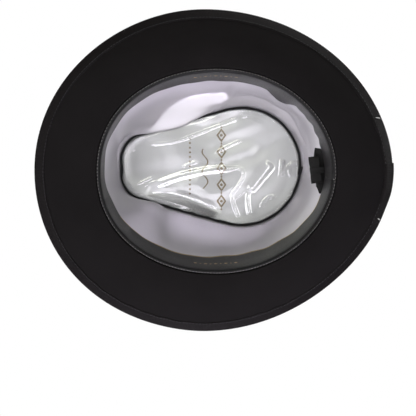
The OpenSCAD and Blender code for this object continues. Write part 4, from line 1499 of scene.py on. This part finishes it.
# creases of the clear film: [points in the main view], half width, steepness, end taper
FOLDS = [
    ([(141, 140), (150, 143), (160, 143.5), (178, 140.5), (196, 134), (215, 127), (232, 121), (248, 115)], 1.9, 0.25, 0.15),
    ([(147, 189), (160, 183), (175, 177.5), (190, 173.5), (208, 170), (224, 168.5), (238, 168)], 3.6, 0.27, 0.2),
    ([(222, 169), (236, 167.5), (242.5, 171), (242.5, 178), (237, 187), (232, 195), (234, 206), (239, 218)], 1.5, 0.38, 0.05),
    ([(272, 162), (265, 170), (256, 181), (248, 192)], 4.2, 0.275, 0.16),
    ([(249, 189), (247, 198), (248, 207), (249.5, 216)], 2.0, 0.33, 0.12),
    ([(232, 201), (239, 195), (247, 190)], 1.4, 0.27, 0.2),
    ([(260, 209), (263, 202), (268, 197), (276, 196)], 1.5, 0.38, 0.12),
    ([(281.5, 159), (281, 168), (280, 177)], 2.2, 0.38, 0.15),
    ([(298, 163), (292, 164), (289, 170), (291, 177)], 1.5, 0.42, 0.08),
    ([(282, 174), (287, 167), (293, 163)], 1.2, 0.36, 0.12),
    ([(136, 185), (145, 180.5), (155, 176)], 1.4, 0.30, 0.2),
    ([(141, 187), (149, 183.5), (157, 180)], 1.2, 0.25, 0.2),
    ([(135, 136), (135.5, 144), (134, 152)], 1.5, 0.28, 0.2),
    ([(145, 193), (156, 191), (170, 191.5), (185, 195), (203, 201.5), (222, 210)], 1.5, 0.235, 0.15),
    ([(212, 155), (226, 147), (246, 138)], 2.0, 0.25, 0.25),
    ([(182, 168), (190, 164), (199, 161.5)], 2.0, 0.26, 0.25),
    ([(127.5, 150), (125.5, 163), (127.5, 176), (135, 189)], 2.2, 0.17, 0.15),
    ([(236, 116), (252, 116), (268, 122)], 2.4, 0.20, 0.25),
    ([(183, 168), (184, 165)], 0.9, 0.30, 0.3),
]


def film_height(x, y):
    f = edge_fade(x, y, 6)
    h = -0.5 - 0.4 * ease((15 - y) / 60) + 0.55 * plane_noise(x, y, 101, 18, (45, 95)) + 0.05 * plane_noise(x, y, 102, 20, (14, 30))
    for pts, w, steep, ends in FOLDS:
        h = h - steep * w / 0.858 * ridge(x, y, pts, w, ends)
    return TIP_Z - 0.9 + f * np.maximum(h, -3.4)


def film_fold_shade(x, y):
    """Painted shade on the film: dark grey and less clear on the pleat below its long lower crease."""
    q = smooth_line([(146, 193), (165, 193.5), (185, 197.5), (203, 204), (224, 213)])
    best, where, side = np.full(x.shape, 1e9), np.zeros(x.shape), np.zeros(x.shape)
    for (px, py), s in zip(q, np.linspace(0, 1, len(q))):
        d = (x - px) ** 2 + (y - py) ** 2
        near = d < best
        where, side = np.where(near, s, where), np.where(near, x - px, side)
        best = np.minimum(best, d)
    depth = np.where(side < 0, np.sqrt(best), 0)
    return ease((depth - 0.5) / 2.5) * (0.3 + 0.7 * ease(where / 0.8)) * ease((1.0 - where) / 0.12)


film = plate("tip_film", 660, 112, film_height, lambda x, y: film_height(x, y) + 0.2, -PIPE_R - 0.03, back_rows=28)
co = np.empty(len(film.data.vertices) * 3)
film.data.vertices.foreach_get("co", co)
co = co.reshape(-1, 3) / MM
# painted shade of the pleat below the long lower crease, stored on the film's points
fold_shade = film.data.attributes.new("fold_shade", "FLOAT", "POINT")
fold_shade.data.foreach_set("value", film_fold_shade(co[:, 0], co[:, 1]).astype(np.float32))
dress(film, "clear_vinyl", "clear_vinyl", "tip_protector")


def emblem():
    """Plain gilt ornament printed on the satin."""
    shapes = []

    def poly(pts):
        shapes.append(np.array(pts, float))

    def ring_poly(outer, inner, parts=6):
        k = len(outer)
        outer, inner = np.array(outer, float), np.array(inner, float)
        for i in range(k):
            j = (i + 1) % k
            for q in range(parts):
                t0, t1 = q / parts, (q + 1) / parts
                poly([mix(outer[i], outer[j], t0), mix(outer[i], outer[j], t1),
                      mix(inner[i], inner[j], t1), mix(inner[i], inner[j], t0)])

    def disc(cx, cy, r, k=16):
        poly([(cx + r * math.cos(2 * math.pi * i / k), cy + r * math.sin(2 * math.pi * i / k)) for i in range(k)])

    for k in range(-2, 3):
        c = k * 15 - 1.5
        ring_poly([(c - 6.4, 9), (c, 4.4), (c + 6.4, 9), (c, 13.6)], [(c - 3.9, 9), (c, 6.3), (c + 3.9, 9), (c, 11.7)])
        disc(c, 9, 1.3)
    for k in range(-2, 4):
        disc(k * 15 - 9, 9, 0.9, 12)
    for x in np.arange(-20, 16, 1.0):
        w0, w1 = -6 + 2.6 * math.sin(math.radians(x * 20)), -6 + 2.6 * math.sin(math.radians((x + 1) * 20))
        poly([(x, w0 - 0.65), (x + 1, w1 - 0.65), (x + 1, w1 + 0.65), (x, w0 + 0.65)])
    for k in range(-6, 7):
        disc(k * 4.2 + 0.5, -19.7, 0.95, 12)
    V, quads, tris, base = [], [], [], 0
    for p in shapes:
        k = len(p)
        x, y = p[:, 0], p[:, 1]
        z = tip_height(x, y)
        top = np.stack([x, y, z + 0.05], -1)
        bot = np.stack([x, y, z - 0.14], -1)
        V += [top, bot]
        i = np.arange(k)
        j = (i + 1) % k
        quads.append(np.stack([i, j, k + j, k + i], -1) + base)
        f = np.arange(1, k - 1)
        tris.append(np.stack([np.zeros(k - 2, int), f + 1, f], -1) + base)
        tris.append(np.stack([np.full(k - 2, k), k + f, k + f + 1], -1) + base)
        base += 2 * k
    ob = make_object("tip_ornament", np.concatenate(V), [np.concatenate(quads), np.concatenate(tris)], smooth=False)
    bm_fix(ob)
    return dress(ob, "gilt", "gilt", "tip_emblem")


def bm_fix(ob):
    import bmesh

    bm = bmesh.new()
    bm.from_mesh(ob.data)
    bmesh.ops.recalc_face_normals(bm, faces=bm.faces)
    bm.to_mesh(ob.data)
    bm.free()


emblem()


def lining_tacks():
    items = []
    for k in range(12):
        a = 15.0 + k * 30
        z = np.array([LIN_Z0 + 3])
        n = dirs(a)
        p = (hug_r(z, np.array([a]))[0] - 0.35) * n + [0, 0, z[0]]
        d = unit(np.cross([0, 0, 1], n))
        items.append((p, d * 1.4, np.array([0, 0, 0.3]), -n * 0.25))
    ob = threads("lining_stitches", items)
    return dress(ob, "light_thread", "light_thread", "lining_tacks")


lining_tacks()

# ------------------------------------------------------------------- stage

world = bpy.data.worlds.new("studio")
bpy.context.scene.world = world
world.use_nodes = True
wt = world.node_tree
wt.nodes.clear()
wo = wt.nodes.new("ShaderNodeOutputWorld")
bg_cam, bg_light = wt.nodes.new("ShaderNodeBackground"), wt.nodes.new("ShaderNodeBackground")
bg_cam.inputs[0].default_value = (1, 1, 1, 1)
bg_cam.inputs[1].default_value = 1.0
bg_light.inputs[0].default_value = (0.97, 0.98, 1.0, 1)
bg_light.inputs[1].default_value = 0.20
lp, mx = wt.nodes.new("ShaderNodeLightPath"), wt.nodes.new("ShaderNodeMixShader")
wt.links.new(lp.outputs["Is Camera Ray"], mx.inputs[0])
wt.links.new(bg_light.outputs[0], mx.inputs[1])
wt.links.new(bg_cam.outputs[0], mx.inputs[2])
wt.links.new(mx.outputs[0], wo.inputs[0])


def stage_floor():
    n = 96
    t = np.arange(n) * 2 * np.pi / n
    ring = [np.stack([r * np.cos(t), r * np.sin(t), np.full(n, -0.3)], -1) for r in (400.0, 1500.0, 9000.0)]
    P = np.array(ring)
    verts = np.concatenate([P.reshape(-1, 3), [[0, 0, -0.3]]])
    k = np.arange(n)
    faces = [grid_faces(3, n, True, flip=True), np.stack([np.full(n, 3 * n), k, (k + 1) % n], -1)]
    ob = make_object("floor", verts, faces)
    m, nt, b, out = new_mat("floor")
    obj, _ = coords(nt)
    col = ramp(nt, noise(nt, obj, 3, 3), [(0.3, (0.80, 0.80, 0.80)), (0.7, (0.83, 0.83, 0.83))])
    nt.links.new(col, b.inputs["Base Color"])
    b.inputs["Roughness"].default_value = 0.85
    # further out the floor runs into an evenly lit white sweep
    dist = node(nt, "ShaderNodeVectorMath", operation="LENGTH")
    nt.links.new(obj, dist.inputs[0])
    far = map_range(nt, dist.outputs["Value"], 0.35, 1.3, 0.0, 1.0)
    glow = node(nt, "ShaderNodeEmission")
    glow.inputs["Color"].default_value = (1, 1, 1, 1)
    sweep = node(nt, "ShaderNodeMixShader")
    nt.links.new(far, sweep.inputs[0])
    nt.links.new(b.outputs[0], sweep.inputs[1])
    nt.links.new(glow.outputs[0], sweep.inputs[2])
    geo, tr, mixs = node(nt, "ShaderNodeNewGeometry"), node(nt, "ShaderNodeBsdfTransparent"), node(nt, "ShaderNodeMixShader")
    nt.links.new(geo.outputs["Backfacing"], mixs.inputs[0])
    nt.links.new(sweep.outputs[0], mixs.inputs[1])
    nt.links.new(tr.outputs[0], mixs.inputs[2])
    nt.links.new(mixs.outputs[0], out.inputs[0])
    ob.data.materials.append(m)
    ob.visible_shadow = False
    ob.visible_diffuse = False
    ob.visible_glossy = False
    ob.visible_transmission = False
    return ob


stage_floor()


def area(name, loc, aim, size, power, colour=(1, 1, 1)):
    d = bpy.data.lights.new(name, "AREA")
    d.shape = "RECTANGLE"
    d.size, d.size_y = size
    d.energy = power
    d.color = colour
    ob = bpy.data.objects.new(name, d)
    bpy.context.scene.collection.objects.link(ob)
    ob.location = loc
    ob.rotation_mode = "QUATERNION"
    ob.rotation_quaternion = (Vector(aim) - Vector(loc)).to_track_quat("-Z", "Y")
    ob.visible_camera = False
    return ob


# from below, for the inside of the hat: a loose ring of soft lights round the view
def polar(az, off, dist):
    """A point seen from the opening: az in plan (0 front, 90 left), off from straight down."""
    d = dirs(az)
    return (d[0] * sd(off) * dist, d[1] * sd(off) * dist, -cd(off) * dist)


for i in range(12):
    az = i * 30.0 + 10.0
    tint = (0.985, 1.0, 0.88) if 30 < az < 170 else (0.955, 0.925, 1.0) if 200 < az < 330 else (1, 1, 1)
    area("ring_%d" % i, polar(az, 27 + 2 * (i % 2), 1.35), (0, 0, 0.08), (0.36, 0.25), 0.52 if 90 < az < 170 else 1.2 if 30 < az < 170 else 1.4, tint)
# a soft sheen on the back of the tip
area("sheen", polar(154, 15, 1.35), (0, 0, 0.08), (0.6, 0.6), 0.40)
for i, (az, off, power, colour) in enumerate((
        (222, 66, 2.8, (0.88, 0.81, 1.0)),
        (266, 66, 11.0, (0.88, 0.81, 1.0)),
        (194, 49, 0.7, (1.0, 1.0, 1.0)),
        (216, 49, 0.7, (1.0, 1.0, 1.0)),
        (237, 49, 0.75, (1.0, 1.0, 1.0)),
        (259, 49, 0.85, (1.0, 1.0, 1.0)),
        (280, 49, 0.8, (0.98, 0.97, 1.0)),
        (305, 60, 3.4, (0.96, 0.93, 1.0)),
        (350, 60, 2.9, (0.97, 0.95, 1.0)),
        (32, 62, 1.7, (1.0, 0.98, 0.94)),
        (82, 64, 1.2, (1.0, 0.98, 0.94)))):
    area("low_%d" % i, polar(az, off, 1.25), (0, 0, 0.06), (0.42, 0.30) if off < 50 else (0.30, 0.22), power, colour)
# from above, for the outside
area("above_key", (1.2, -1.2, 1.5), (0, 0, 0.05), (0.9, 0.9), 95)
area("above_fill", (-1.5, -0.5, 1.0), (0, 0, 0.05), (0.9, 0.9), 50)
area("above_back", (0.2, 1.7, 1.3), (0, 0, 0.08), (1.2, 0.7), 85)
area("above_top", (0.0, -0.2, 1.9), (0, 0, 0.08), (0.8, 0.8), 25)
area("side_strip", (1.7, 0.9, 0.5), (0, 0, 0.06), (0.25, 0.9), 30)

# ------------------------------------------------------------------ camera

cam_data = bpy.data.cameras.new("camera")
cam = bpy.data.objects.new("camera", cam_data)
bpy.context.scene.collection.objects.link(cam)
eye, aim = Vector((0.062, -0.067, -1.25)), Vector((-0.0309, -0.0076, 0.0))
fwd = (aim - eye).normalized()
right = fwd.cross(Vector((1, 0, 0))).normalized()
up = right.cross(fwd)
cam.matrix_world = Matrix.Translation(eye) @ Matrix((right, up, -fwd)).transposed().to_4x4()
cam_data.sensor_width = 36.0
cam_data.lens = 36.0 * (aim - eye).length / 0.3536
cam_data.clip_start, cam_data.clip_end = 0.05, 60.0
cam_data.dof.use_dof = False
bpy.context.scene.camera = cam
bpy.context.scene.view_settings.view_transform = "Standard"
